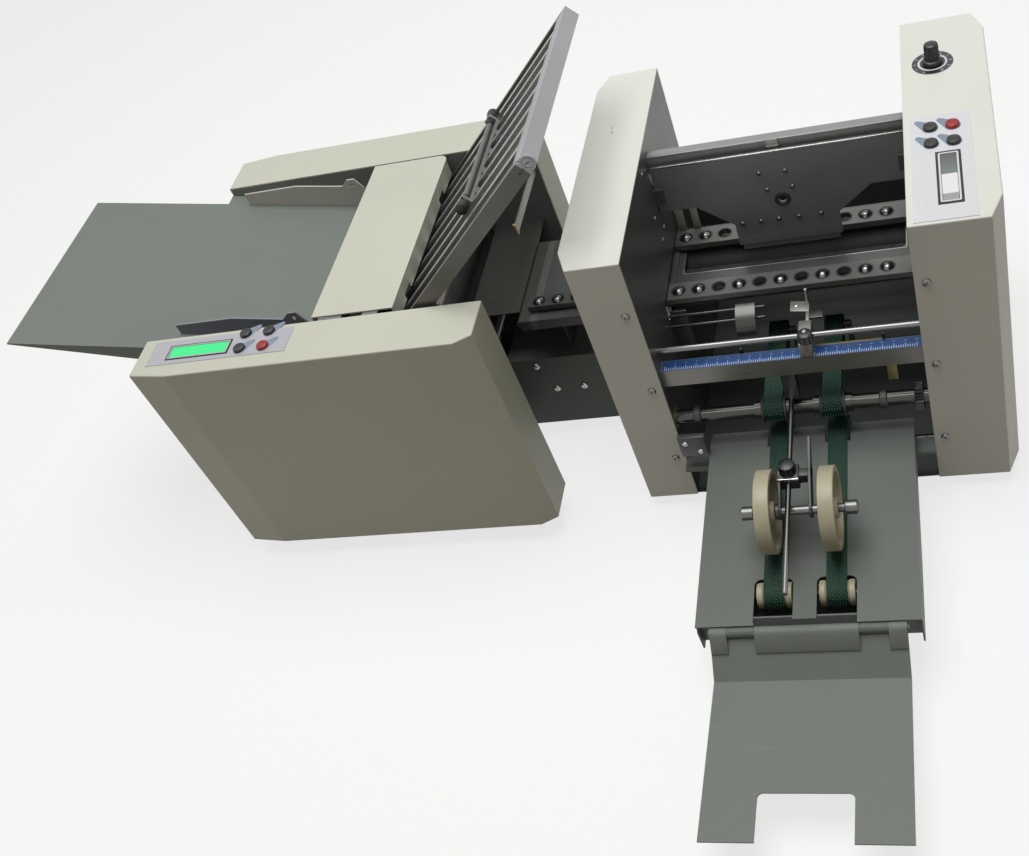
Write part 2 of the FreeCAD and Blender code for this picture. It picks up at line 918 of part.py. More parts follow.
def gear_outline(centre, phase):
    """A spur gear seen along its shaft, with straight-sided teeth and backlash."""
    pitch = roller_half
    tip = pitch * (1 + gear_addendum_share)
    root = pitch * (1 - gear_dedendum_share)
    turn = 2 * math.pi / gear_teeth
    points = []
    for tooth in range(gear_teeth):
        middle = phase + tooth * turn
        for radius, share in ((root, -tooth_root_share), (tip, -tooth_tip_share),
                              (tip, tooth_tip_share), (root, tooth_root_share)):
            points.append(step_from(centre, radius, middle + share * turn))
    return points


def gear_phases(centres, start):
    """Turn each gear so that its teeth meet the gaps of the gear before it."""
    phases = [start]
    for first, second in zip(centres, centres[1:]):
        line = math.atan2(second[1] - first[1], second[0] - first[0])
        phases.append(2 * line + math.pi + math.pi / gear_teeth - phases[-1])
    return phases


main_centres = [roller_1, roller_2, roller_3, roller_4]
main_phases = gear_phases(main_centres, 0)
cross_phases = gear_phases(cross_rollers(), 0)


def fold_roller(place):
    """A roller of the first unit, with its shaft and the gear behind the near frame plate."""
    centre = main_centres[place]
    near = main_near_face - plate_wall
    gear_start = near - gear_room - gear_width
    drum = rod_along_y(centre, roller_radius, main_near_face + roller_end_room,
                       main_far_face - roller_end_room)
    tail = motor_length + plate_wall + roller_end_room if place == 3 else shaft_tail
    shaft = rod_along_y(centre, shaft_radius, gear_start - sheet, main_far_face + tail)
    gear = slab_y(gear_outline(centre, main_phases[place]), gear_start, gear_start + gear_width)
    return fuse(drum, shaft, gear)


def feed_roller():
    middle = (main_near_face + main_far_face) / 2
    wheel = rod_along_y(feed_wheel, feed_wheel_radius, middle - feed_wheel_length / 2,
                        middle + feed_wheel_length / 2)
    shaft = rod_along_y(feed_wheel, feed_shaft_radius, main_near_face - plate_wall - shaft_tail / 2,
                        main_far_face + plate_wall + shaft_tail / 2)
    return fuse(wheel, shaft)


def bush_along_y(centre, radius, y0, y1):
    return rod_along_y(centre, radius + bush_wall, y0, y1).cut(rod_along_y(centre, radius + run, y0, y1))


def bush_along_x(centre, radius, x0, x1):
    return rod_along_x(centre, radius + bush_wall, x0, x1).cut(rod_along_x(centre, radius + run, x0, x1))


def roller_bearings():
    """The bushes of every shaft, pressed into the four frame plates."""
    bushes = []
    for centre, radius in main_shafts():
        bushes.append(bush_along_y(centre, radius, main_near_face - plate_wall, main_near_face))
        bushes.append(bush_along_y(centre, radius, main_far_face, main_far_face + plate_wall))
    for centre, radius in cross_shafts():
        bushes.append(bush_along_x(centre, radius, cross_left_face - plate_wall, cross_left_face))
        bushes.append(bush_along_x(centre, radius, cross_right_face, cross_right_face + plate_wall))
    return group(*bushes)


def upper_span():
    return main_near_face + upper_side_room, main_far_face - upper_side_room


def upper_plate_frame():
    """Side rails, end bars and the hooks that hang the plate between the frame plates."""
    near, far = upper_span()
    side = upper.strip(upper_start, upper_length, -upper_rail_under, upper_rail_over)
    body = slab_y(side, near, near + upper_rail)
    body = body.fuse(slab_y(side, far - upper_rail, far))
    end = upper.strip(upper_length - upper_end_bar, upper_length, -upper_rail_under, upper_rail_over)
    body = body.fuse(slab_y(end, near, far))
    foot_bar = upper.strip(upper_start + bar_width, upper_start + 2 * bar_width,
                           -upper_rail_under, -upper_rail_under + bar_thick)
    body = body.fuse(slab_y(foot_bar, near, far))
    hook = upper.at(hook_along, -hook_under)
    body = body.fuse(rod_along_y(hook, hook_radius, main_near_face, near))
    body = body.fuse(rod_along_y(hook, hook_radius, far, main_far_face))
    middle = (upper_rail_over - upper_rail_under) / 2
    along = upper_length - end_boss_inset
    boss = rod_along_y(upper.at(along, middle), end_boss_radius, near - end_boss_thick, near)
    reach = end_boss_radius / 2
    slot = upper.strip(along - reach, along + reach, middle - end_boss_slot / 2, middle + end_boss_slot / 2)
    boss = boss.cut(slab_y(slot, near - end_boss_thick, near - end_boss_thick / 2))
    return body.fuse(boss).removeSplitter()


def bar_middles():
    near, far = upper_span()
    pitch = (far - near) / (bar_count + 1)
    return [near + (place + 1) * pitch for place in range(bar_count)]


def upper_plate_grille():
    """Two layers of bars with the sheet's gap between them."""
    near, far = upper_span()
    end = upper_length - upper_end_bar
    layers = []
    for low in (paper_half_gap, -paper_half_gap - bar_thick):
        strip = upper.strip(upper_start, end, low, low + bar_thick)
        bars = [slab_y(strip, y - bar_width / 2, y + bar_width / 2) for y in bar_middles()]
        over = low + bar_thick if low > 0 else low - bar_thick
        for start in (upper_start, end - bar_width):
            top = upper.strip(start, start + bar_width, min(low, over), max(low, over))
            bars.append(slab_y(top, near + upper_rail, far - upper_rail))
        layers.append(fuse(*bars))
    return group(*layers)


def stop_bar_level():
    return paper_half_gap + bar_thick + gap


def upper_paper_stop():
    """The stop that the sheet's edge meets: a bar on the grille with fingers through it."""
    near, far = stop_span()
    low = stop_bar_level()
    half = stop_width / 2
    strip = upper.strip(stop_along - half, stop_along + half, low, low + stop_thick)
    body = slab_y(strip, near, far)
    middles = bar_middles()
    finger = upper.strip(stop_along - half, stop_along + half, -paper_half_gap + gap, low)
    for first, second in zip(middles, middles[1:]):
        start = (first + second - stop_finger) / 2
        if near < start and start + stop_finger < far:
            body = body.fuse(slab_y(finger, start, start + stop_finger))
    ear = upper.strip(stop_along - half, stop_along + half, low, clamp_level() + half)
    for y in (near, far - stop_ear):
        body = body.fuse(slab_y(ear, y, y + stop_ear))
    body = body.removeSplitter()
    bore = rod_along_y(clamp_centre(), clamp_shaft_radius + run, near - overrun, far + overrun)
    return body.cut(bore)


def stop_span():
    """The stop's bar lies between its two knobs."""
    near, far = upper_span()
    knob_room = stop_knob_inset + stop_knob_length + gap
    return near + knob_room, far - knob_room


def clamp_level():
    return stop_bar_level() + stop_knob_radius


def clamp_centre():
    return upper.at(stop_along, clamp_level())


def stop_clamp_shaft():
    """The clamp shaft across the stop, with a black knob at each end."""
    near, far = upper_span()
    low, high = near + stop_knob_inset, far - stop_knob_inset
    shaft = rod_along_y(clamp_centre(), clamp_shaft_radius, low, high)
    knobs = [rod_along_y(clamp_centre(), stop_knob_radius, low, low + stop_knob_length),
             rod_along_y(clamp_centre(), stop_knob_radius, high - stop_knob_length, high)]
    return fuse(shaft, *knobs)


def lower_fold_plate():
    """Two sheets with side strips that reach the frame plates."""
    end = lower_start + lower_length
    sheets = [lower.strip(lower_start, end, low, low + sheet)
              for low in (paper_half_gap, -paper_half_gap - sheet)]
    body = [slab_y(points, main_near_face, main_far_face) for points in sheets]
    side = lower.strip(lower_start, end, -lower_half, lower_half)
    body.append(slab_y(side, main_near_face, main_near_face + lower_side))
    body.append(slab_y(side, main_far_face - lower_side, main_far_face))
    return fuse(*body)


def control_panels():
    """The two panel films, cut for their display and buttons, and the dial's disc."""
    x0, y0, width, depth = panel_main
    main_film = box(x0, x0 + width, y0, y0 + depth, main_top, main_top + trim)
    holes = button_holes(main_button_centres(), main_top - overrun, main_top + overrun)
    window = display_block(main_display_centre(), False, gap, main_top - overrun, main_top + overrun)
    main_film = cut(main_film, window, *holes)
    x0, y0, width, depth = panel_cross
    x0, y0 = x0 + cross_right_face, y0 + cross_near
    cross_film = box(x0, x0 + width, y0, y0 + depth, cross_top, cross_top + trim)
    holes = button_holes(cross_button_centres(), cross_top - overrun, cross_top + overrun)
    window = display_block(cross_display_centre(), True, gap, cross_top - overrun, cross_top + overrun)
    cross_film = cut(cross_film, window, *holes)
    dial = rod_along_z(dial_centre(), dial_radius, cross_top, cross_top + trim)
    dial = dial.cut(rod_along_z(dial_centre(), knob_shaft_radius + gap, cross_top, cross_top + trim))
    return group(main_film, cross_film, dial)


def displays():
    blocks = []
    for centre, turned, top in ((main_display_centre(), False, main_top),
                                (cross_display_centre(), True, cross_top)):
        blocks.append(display_block(centre, turned, 0, top + trim - display_depth, top + trim))
    return group(*blocks)


def panel_board(x0, x1, y0, y1, top, centres):
    """A circuit board below a display, with a small switch under each button."""
    high = top + trim - display_depth
    board = box(x0, x1, y0, y1, high - board_thick, high)
    switch = button_radius / 2
    switches = [rod_along_z(centre, switch, high, button_bottom(top) - button_travel - gap)
                for centre in centres]
    return fuse(board, *switches)


def button_bottom(top):
    return top - cover_wall - button_rim_thick - gap


def control_electronics():
    """The power supply, both panel boards and the dial's potentiometer."""
    x0, z0 = supply_place
    length, depth, height = supply_size
    y0 = main_far_face + plate_wall
    supply = box(x0, x0 + length, y0, y0 + depth, main_foot + sheet + z0, main_foot + sheet + z0 + height)
    x0, y0, width, depth = panel_main
    margin = cover_wall + gap
    main_board = panel_board(x0 + margin, x0 + width - margin, y0, y0 + depth - margin,
                             main_top, main_button_centres())
    x0, y0, width, depth = panel_cross
    x0, y0 = x0 + cross_right_face, y0 + cross_near
    near = cross_near + margin + plate_wall + gap
    cross_board = panel_board(x0 + margin, x0 + width - margin, near, y0 + depth - margin,
                              cross_top, cross_button_centres())
    under = cross_top - cover_wall
    pot = rod_along_z(dial_centre(), pot_radius, under - pot_depth, under)
    pot = pot.cut(rod_along_z(dial_centre(), knob_shaft_radius + run, under - pot_depth / 2, under))
    return group(supply, main_board, cross_board, pot)


def power_inlet():
    """The mains socket in the far casing's end, with its three blades."""
    y, z = inlet_middle()
    half_y, half_z = inlet_size[0] / 2, inlet_size[1] / 2
    shell = box(0, inlet_depth, y - half_y, y + half_y, z - half_z, z + half_z)
    flange = box(-cover_wall, 0, y - half_y - inlet_flange, y + half_y + inlet_flange,
                 z - half_z - inlet_flange, z + half_z + inlet_flange)
    body = fuse(shell, flange)
    well = box(-overrun, inlet_depth - inlet_wall, y - half_y + inlet_wall, y + half_y - inlet_wall,
               z - half_z + inlet_wall, z + half_z - inlet_wall)
    body = body.cut(well)
    back = inlet_depth - inlet_wall
    for place, rise in ((-1, -1), (0, 1), (1, -1)):
        blade_y = y + place * blade_pitch
        blade_z = z + rise * blade_size[1] / 2
        half_y, half_z = blade_size[0] / 2, blade_size[1] / 2
        body = body.fuse(box(back - blade_length, back, blade_y - half_y, blade_y + half_y,
                             blade_z - half_z, blade_z + half_z))
    return body.removeSplitter()


def drive_motors():
    """Ring gearmotors on the last fold roller's shaft and on the first cross roller's."""
    start = main_far_face + plate_wall
    main_motor = rod_along_y(roller_4, motor_radius, start, start + motor_length)
    main_motor = main_motor.cut(rod_along_y(roller_4, shaft_radius + run, start, start + motor_length))
    end = cross_left_face - plate_wall
    centre = cross_rollers()[0]
    cross_motor = rod_along_x(centre, motor_radius, end - motor_length, end)
    cross_motor = cross_motor.cut(rod_along_x(centre, shaft_radius + run, end - motor_length, end))
    return group(main_motor, cross_motor)


def pulley_starts():
    """Where the two timing pulleys' places start, in the right casing."""
    first = cross_right_face + plate_wall + 2 * gear_room + gear_width
    return first, first + pulley_width + gear_room


def cross_gear_start():
    return cross_right_face + plate_wall + gear_room


def cross_roller(place):
    """A roller under the knife, geared to its neighbour in the right casing."""
    centre = cross_rollers()[place]
    drum = rod_along_x(centre, roller_radius, cross_left_face + roller_end_room,
                       cross_right_face - roller_end_room)
    start = cross_left_face - plate_wall - (motor_length if place == 0 else shaft_tail)
    gear_start = cross_gear_start()
    end = gear_start + gear_width if place == 0 else pulley_starts()[0] + pulley_width
    shaft = rod_along_x(centre, shaft_radius, start, end)
    gear = slab_x(gear_outline(centre, cross_phases[place]), gear_start, gear_start + gear_width)
    body = [drum, shaft, gear]
    if place == 1:
        body.append(pulley(centre, pulley_starts()[0]))
    return fuse(*body)


def pulley(centre, start):
    return rod_along_x(centre, pulley_radius, start, start + pulley_width)


def drum_ends(x):
    return x - belt_width / 2 - upper_drum_room, x + belt_width / 2 + upper_drum_room


def belt_drive_roller():
    """The upper belts' chrome drive shaft with its two drums and four collars."""
    centre = (upper_shaft_y, upper_shaft_height)
    end = pulley_starts()[1] + pulley_width
    body = [rod_along_x(centre, upper_shaft_radius, cross_left_face - plate_wall - shaft_tail, end)]
    for x in belt_places:
        low, high = drum_ends(x)
        body.append(rod_along_x(centre, upper_belt_drum, low, high))
        body.append(rod_along_x(centre, collar_radius, low - collar_length, low))
        body.append(rod_along_x(centre, collar_radius, high, high + collar_length))
    body.extend(pulley(centre, start) for start in pulley_starts())
    return fuse(*body)


def delivery_drive_shaft():
    """The lower belts' drive shaft, with a drum inside each belt."""
    end = pulley_starts()[1] + pulley_width
    body = [rod_along_x(drive_centre, drive_shaft_radius, cross_left_face - plate_wall - shaft_tail, end)]
    for x in belt_places:
        half = belt_width / 2
        body.append(rod_along_x(drive_centre, drive_drum - gap, x - half, x + half))
    body.append(pulley(drive_centre, pulley_starts()[1]))
    return fuse(*body)


def belt_tail_roller():
    """The cream rollers that the lower belts turn round, on their axle."""
    body = [rod_along_x(tail_centre, tail_axle_radius, table_start + sheet + gap, table_end - sheet - gap)]
    for x in belt_places:
        half = tail_drum_length / 2
        body.append(rod_along_x(tail_centre, tail_drum - gap, x - half, x + half))
    return fuse(*body)


def loop_outline(first, first_radius, second, second_radius):
    """The closed line of a belt round two drums, as a wire in the YZ plane."""
    reach = math.dist(first, second)
    line = math.atan2(second[1] - first[1], second[0] - first[0])
    lean = math.acos((first_radius - second_radius) / reach)
    def point(centre, radius, angle):
        return V(0, *step_from(centre, radius, angle))
    left = (point(first, first_radius, line + lean), point(second, second_radius, line + lean))
    right = (point(first, first_radius, line - lean), point(second, second_radius, line - lean))
    edges = [Part.makeLine(*left),
             Part.Arc(left[1], point(second, second_radius, line), right[1]).toShape(),
             Part.makeLine(right[1], right[0]),
             Part.Arc(right[0], point(first, first_radius, line + math.pi), left[0]).toShape()]
    return Part.Wire(edges)


def belt_loop(first, first_radius, second, second_radius, thick, x0, x1):
    """A belt round two drums, a solid band from x0 to x1."""
    outer = Part.Face(loop_outline(first, first_radius + thick, second, second_radius + thick))
    inner = Part.Face(loop_outline(first, first_radius, second, second_radius))
    push = V(x1 - x0, 0, 0)
    band = outer.extrude(push).cut(inner.extrude(push))
    band.translate(V(x0, 0, 0))
    return band


def delivery_belts():
    """Two upper belts and two lower belts, side by side in pairs."""
    belts = []
    half = belt_width / 2
    upper_centre = (upper_shaft_y, upper_shaft_height)
    nose = (nose_y, upper_shaft_height)
    for x in belt_places:
        belts.append(belt_loop(upper_centre, upper_belt_drum + gap, nose, nose_radius + gap, belt_thick,
                               x - half, x + half))
        belts.append(belt_loop(drive_centre, drive_drum, tail_centre, tail_drum, belt_thick,
                               x - half, x + half))
    return group(*belts)


def drive_belts():
    """The two timing belts in the right casing."""
    first, second = pulley_starts()
    upper_centre = (upper_shaft_y, upper_shaft_height)
    radius = pulley_radius + gap
    return group(belt_loop(upper_centre, radius, cross_rollers()[1], radius, timing_belt_thick,
                           first, first + pulley_width),
                 belt_loop(upper_centre, radius, drive_centre, radius, timing_belt_thick,
                           second, second + pulley_width))


def transfer_table():
    """The sheet between the units, its round lip, near flange and web, and the lead-in sheet."""
    x0, x1 = transfer_start, cross_left_face + transfer_lip
    y0, y1 = transfer_near, transfer_near + transfer_width
    top = transfer_height
    web_x = main_length + web_place
    lip_centre = (x0 + transfer_lip, top - transfer_lip)
    body = fuse(box(x0 + transfer_lip, x1, y0, y1, top - sheet, top),
                rod_along_y(lip_centre, transfer_lip, y0, y1),
                box(x0 + transfer_lip, cross_left_out, y0, y0 + sheet, top - transfer_flange, top),
                box(web_x, web_x + sheet, y0 + transfer_width / 4, y1, bridge_top, top - sheet))
    lead_in = box(main_base_end - lead_in_overlap, x0 - gap, bridge_near, main_far_face,
                  top - 2 * sheet, top - sheet)
    return group(body, lead_in)


def bridge_screw_points():
    return [(bridge_start + offset, bridge_top - drop) for offset, drop in bridge_screw_drops]


def bridge_box():
    """The sheet box under the transfer table, with the hooks that dock the two units."""
    x0, x1 = bridge_start, cross_left_out
    foot_level = cross_foot + bridge_foot_rise
    outer = box(x0, x1, bridge_near, bridge_far, foot_level, bridge_top)
    hollow = box(x0 + bridge_wall, x1 + overrun, bridge_near + bridge_wall, bridge_far - bridge_wall,
                 foot_level - overrun, bridge_top - bridge_wall)
    body = outer.cut(hollow)
    for y in (bridge_near + hook_width, bridge_far - 2 * hook_width):
        body = body.fuse(box(main_base_end, x0, y, y + hook_width, main_foot + hook_base - hook_height,
                             main_foot + hook_base))
    body = body.removeSplitter()
    return cut(body, *[rod_along_y(point, screw_radius, bridge_near - overrun, bridge_near + overrun)
                       for point in bridge_screw_points()])


def register_table():
    """The bright table with its long rounded window over the rollers."""
    body = box(cross_left_face, cross_right_face, register_near, register_near + register_depth,
               register_top - sheet, register_top)
    window = rounded_box(cross_left_face + window_side, cross_right_face - window_side, window_near,
                         window_far, register_top - sheet - overrun, register_top + overrun, window_corner)
    return body.cut(window)


def ball_xs():
    pitch = (cross_opening - ball_first - ball_last) / (len(ball_pattern) - 1)
    return [cross_left_face + ball_first + place * pitch for place in range(len(ball_pattern))]


def rail_middles():
    middle = cross_near + rail_width / 2
    return middle + front_rail_inset, middle + rear_rail_inset


def side_ball_centres():
    y = transfer_near + side_rail_inset + side_rail_width / 2
    return [(transfer_start + offset, y) for offset in side_ball_offsets]


def ball_level():
    return register_top + ball_radius


def side_ball_level():
    return transfer_height + ball_radius


def ball_rails():
    """The two rails over the register table and the short one over the transfer table."""
    low = register_top + ball_radius / 2
    hole = ball_radius + ball_hole_room
    rails = []
    for middle in rail_middles():
        rail = box(cross_left_face, cross_right_face, middle - rail_width / 2, middle + rail_width / 2,
                   low, low + rail_thick)
        rail = cut(rail, *[rod_along_z((x, middle), hole, low - overrun, low + rail_thick + overrun)
                           for x in ball_xs()])
        rails.append(rail)
    low = transfer_height + ball_radius / 2
    near = transfer_near + side_rail_inset
    side = box(cross_left_out - side_rail_length, cross_left_out, near, near + side_rail_width,
               low, low + rail_thick)
    side = cut(side, *[rod_along_z(centre, hole, low - overrun, low + rail_thick + overrun)
                       for centre in side_ball_centres()])
    return group(*rails, side)


def register_balls():
    balls = []
    for middle in rail_middles():
        for x, mark in zip(ball_xs(), ball_pattern):
            if mark == "x":
                balls.append(Part.makeSphere(ball_radius, V(x, middle, ball_level())))
    for x, y in side_ball_centres():
        balls.append(Part.makeSphere(ball_radius, V(x, y, side_ball_level())))
    return group(*balls)


def folding_knife():
    """The knife carrier, narrowed to its neck, with the thin edge that pushes the sheet."""
    x = cross_middle
    half = cross_opening / 2 - knife_side_room
    shoulder, neck = knife_level(knife_shoulder_share), knife_level(knife_neck_share)
    shoulder_half, neck_half = knife_shoulder_half_share * half, knife_neck_half_share * half
    half_points = [(half, knife_top), (half, shoulder), (shoulder_half, shoulder), (neck_half, neck),
                   (neck_half, knife_level(knife_bottom_share))]
    outline = [(x - a, z) for a, z in half_points] + [(x + a, z) for a, z in reversed(half_points)]
    edge_half, edge_bottom = edge_half_share * half, register_top + edge_rise
    y0, y1 = knife_y - knife_thick / 2, knife_y + knife_thick / 2
    body = slab_y(outline, y0, y1)
    edge = box(x - edge_half, x + edge_half, knife_y - edge_thick / 2, knife_y + edge_thick / 2,
               edge_bottom, edge_bottom + edge_height)
    hole = rod_along_y((x, shoulder - knife_hole_drop), knife_hole_radius, y0 - overrun, y1 + overrun)
    return fuse(body, edge).cut(hole)


def cross_bars():
    """The bar behind the knife with its clip, three cross rods, the rear panel and the belt beds."""
    y0 = knife_y + knife_thick / 2 + top_bar_room
    top = cross_top - top_bar_drop
    body = box(cross_left_face, cross_right_face, y0, y0 + top_bar_thick, top - top_bar_height, top)
    clip = box(cross_middle - clip_width / 2, cross_middle + clip_width / 2, y0 - sheet, y0,
               top - top_bar_height / 2, top + sheet)
    rods = [rod_along_x((y, z), tie_radius, cross_left_face, cross_right_face)
            for y, z in ((cross_far - foot_inset, cross_roller_height / 2), (nose_y, cross_roller_height / 2),
                         (cross_far - foot_inset, knife_level(knife_shoulder_share)))]
    rear = cross_far - rear_panel_inset
    panel = box(cross_left_face, cross_right_face, rear - sheet, rear, cross_foot + sheet,
                cross_foot + sheet + rear_panel_height)
    return group(fuse(body, clip), *rods, *[belt_bed(x) for x in belt_places], panel)


def ruler_bar():
    near = cross_near + ruler_inset
    return box(cross_left_face, cross_right_face, near, near + ruler_depth,
               ruler_bottom, ruler_bottom + ruler_height)


def guide_rods():
    """The rod over the ruler bar, and the stacker's rod on its hanger."""
    guide_line = (guide_rod_y, guide_rod_height)
    guide = rod_along_x(guide_line, guide_rod_radius, cross_left_face, cross_right_face)
    start = rod_line.at(along_at(rod_line, cross_near - rod_reach))
    end = rod_line.at(along_at(rod_line, cross_near + rod_far_inset))
    rod = Part.makeCylinder(rod_radius, math.dist(start, end), V(rod_x, *start),
                            V(0, end[0] - start[0], end[1] - start[1]))
    half = hanger_width / 2
    near = cross_near + ruler_inset
    low = end[1] - rod_radius - trim
    hanger = box(rod_x - half, rod_x + half, near, near + ruler_depth, low, ruler_bottom)
    return group(guide, fuse(rod, hanger))


def rod_clamp():
    """The clamp on the guide rod: its knob, and the arm with a plate and an upright pin."""
    centre = (guide_rod_y, guide_rod_height)
    x0, x1 = clamp_x - clamp_width / 2, clamp_x + clamp_width / 2
    half = clamp_block / 2
    top = guide_rod_height + half
    body = fuse(box(x0, x1, guide_rod_y - half, guide_rod_y + half, guide_rod_height - half, top),
                rod_along_z((clamp_x, guide_rod_y), clamp_knob_radius, top, top + clamp_knob_height),
                box(x0, x0 + clamp_arm_thick * 2, guide_rod_y, guide_rod_y + clamp_arm_reach + half,
                    top - clamp_arm_thick, top))
    middle = guide_rod_y + clamp_arm_reach + half
    plate = box(clamp_x - clamp_plate[0] / 2, clamp_x + clamp_plate[0] / 2, middle - clamp_plate[1] / 2,
                middle + clamp_plate[1] / 2, top - clamp_arm_thick, top)
    pin = rod_along_z((clamp_x, middle), clamp_pin_radius, top - clamp_arm_thick, top + clamp_pin_height)
    body = fuse(body, plate, pin)
    return body.cut(rod_along_x(centre, guide_rod_radius + run, x0 - overrun, x1 + overrun))


def table_patch(x0, x1, start, end, low=None, high=None):
    """A slab of the delivery table's slope between two places along Y."""
    low = table_skin - sheet if low is None else low
    high = table_skin if high is None else high
    points = table_slope.strip(along_at(table_slope, start), along_at(table_slope, end), low, high)
    return slab_x(points, x0, x1)


def belt_slot(x):
    """The slot round a lower belt's cream roller, open at the near edge."""
    half = belt_slot_width / 2
    far = table_near + belt_slot_length
    body = rounded_box(x - half, x + half, table_near - belt_slot_length, far,
                       tail_centre[1] - tail_drum, tail_centre[1] + 3 * tail_drum, belt_slot_corner)
    return body


def table_side():
    """A side flange of the table seen from the side, deep round the cream rollers."""
    places = ((table_near, table_skin), (table_far, table_skin), (table_far, table_skin - table_flange),
              (table_near + floor_inset + floor_length, table_skin - table_near_flange),
              (table_near, table_skin - table_near_flange))
    return [table_at(y, off) for y, off in places]


def table_lip_sheet():
    """The far end of the table's sheet, bent down a little under the belt shaft."""
    start, fall = table_at(table_far, table_skin), table_lip_fall
    points = [start, (table_far + table_lip, start[1] - fall),
              (table_far + table_lip, start[1] - fall - sheet), (start[0], start[1] - sheet)]
    return slab_x(points, table_start, table_end)


def table_floor():
    """The sheet that closes the table below the cream rollers, with its front wall."""
    x0, x1 = table_start + sheet, table_end - sheet
    start, low = table_near + floor_inset, table_skin - table_near_flange
    floor = table_patch(x0, x1, start, start + floor_length, low, low + sheet)
    return fuse(floor, table_patch(x0, x1, start, start + sheet, low, table_skin - sheet))


def delivery_table():
    """The delivery table: sheet, side flanges, hooks into the unit, hinge tabs, hinge pin and floor."""
    body = table_patch(table_start, table_end, table_near, table_far).fuse(table_lip_sheet())
    for x in (table_start, table_end - sheet):
        body = body.fuse(slab_x(table_side(), x, x + sheet))
    hook_low = table_skin - table_flange
    for low, high in ((cross_left_face, table_start + sheet), (table_end - sheet, cross_right_face)):
        body = body.fuse(table_patch(low, high, table_far - table_hook_reach, table_far,
                                     hook_low, hook_low + plate_wall))
    for x in belt_places:
        body = body.cut(belt_slot(x))
        relief = belt_width / 2 + 2 * belt_thick
        body = body.cut(table_patch(x - relief, x + relief, table_far - belt_relief,
                                    table_far + table_lip + overrun, -table_flange / 2, overrun))
    tongue = (belt_places[0] + belt_slot_width / 2, belt_places[1] - belt_slot_width / 2)
    body = body.cut(table_patch(tongue[0] - overrun, tongue[1] + overrun, table_near - overrun,
                                table_near + tongue_short, -table_flange / 2, overrun))
    axle_hole = rod_along_x(tail_centre, tail_axle_radius + run, table_start - overrun, table_end + overrun)
    return group(hinge_side(body.removeSplitter().cut(axle_hole)), table_floor())


def tab_starts():
    return (table_start + tab_inset, table_end - tab_inset - tab_width)


def hinge_side(body):
    """Add the two tabs and the pin that the flap hangs on."""
    clear = hinge_pin_radius + hinge_wall + run + gap
    for low, high in ((table_start - overrun, tab_starts()[0]),
                      (tab_starts()[0] + tab_width, tab_starts()[1]),
                      (tab_starts()[1] + tab_width, table_end + overrun)):
        body = body.cut(rod_along_x(hinge_centre, clear + gap, low, high))
    for start in tab_starts():
        barrel = rod_along_x(hinge_centre, hinge_pin_radius + hinge_wall, start, start + tab_width)
        reach = table_patch(start, start + tab_width, table_near, table_near + hinge_wall,
                            -hinge_drop - hinge_pin_radius, table_skin)
        body = body.fuse(barrel).fuse(reach)
    ends = (tab_starts()[0] - knuckle_width, tab_starts()[1] + tab_width + knuckle_width)
    pin = rod_along_x(hinge_centre, hinge_pin_radius, ends[0], ends[1])
    return body.fuse(pin).removeSplitter()


def flap_sections():
    """Side view of the flap: from its hinge down to the bend, then out to its end."""
    first_angle = math.atan2(hinge_centre[1] - flap_bend[1], hinge_centre[0] - flap_bend[0])
    second_angle = math.atan2(flap_bend[1] - flap_end[1], flap_bend[0] - flap_end[0])
    first = Slope(flap_bend, first_angle)
    second = Slope(flap_end, second_angle)
    middle = (first_angle + second_angle) / 2
    mitre = sheet / math.cos((first_angle - second_angle) / 2)
    inner = step_from(flap_bend, -mitre, middle + math.pi / 2)
    reach = math.dist(hinge_centre, flap_bend)
    upper_leg = [flap_bend, inner, first.at(reach, -sheet), first.at(reach, 0)]
    long_leg = [second.at(0, 0), second.at(0, -sheet), inner, flap_bend]
    return first, second, upper_leg, long_leg


def delivery_flap():
    """The hinged flap: three knuckles, the short leg, and the long leg with its finger notch."""
    x0, x1 = table_start + flap_inset, table_end - flap_inset
    first, second, upper_leg, long_leg = flap_sections()
    body = fuse(slab_x(upper_leg, x0, x1), slab_x(long_leg, x0, x1))
    barrel = hinge_pin_radius + run + hinge_wall
    relief = barrel + 2 * gap
    body = body.cut(rod_along_x(hinge_centre, relief, x0 - overrun, x1 + overrun))
    first_tab, second_tab = tab_starts()
    for start, stop in ((first_tab - knuckle_width, first_tab), (first_tab + tab_width, second_tab),
                        (second_tab + tab_width, second_tab + tab_width + knuckle_width)):
        low, high = max(start + gap, x0), min(stop - gap, x1)
        body = body.fuse(rod_along_x(hinge_centre, barrel, low, high))
        body = body.fuse(slab_x(upper_leg, low, high))
    middle = (x0 + x1) / 2
    half = flap_notch_width / 2
    notch = rounded_box(middle - half, middle + half, flap_end[0] - flap_notch_length,
                        flap_end[0] + flap_notch_length, 0, hinge_centre[1] + overrun, flap_notch_corner)
    body = body.cut(notch).removeSplitter()
    return body.cut(rod_along_x(hinge_centre, hinge_pin_radius + run, x0 - overrun, x1 + overrun))


def wheel_span():
    return belt_places[0], belt_places[1]


def stacker_wheels():
    """The two cream wheels on their axle, with a metal collar at each end."""
    low = wheel_span()[0] - wheel_width / 2 - axle_beyond
    high = wheel_span()[1] + wheel_width / 2 + axle_beyond
    body = [rod_along_x(wheel_centre, axle_radius, low, high),
            rod_along_x(wheel_centre, axle_collar_radius, low, low + axle_collar),
            rod_along_x(wheel_centre, axle_collar_radius, high - axle_collar, high)]
    for x in wheel_span():
        half = wheel_width / 2
        rim = rod_along_x(wheel_centre, wheel_radius, x - half, x + half)
        rim = rim.cut(rod_along_x(wheel_centre, wheel_radius - wheel_rim, x - half, x + half))
        web = rod_along_x(wheel_centre, wheel_radius - wheel_rim, x - wheel_web / 2, x + wheel_web / 2)
        hub = rod_along_x(wheel_centre, wheel_hub_radius, x - half, x + half)
        body.extend((rim, web, hub))
    return fuse(*body)


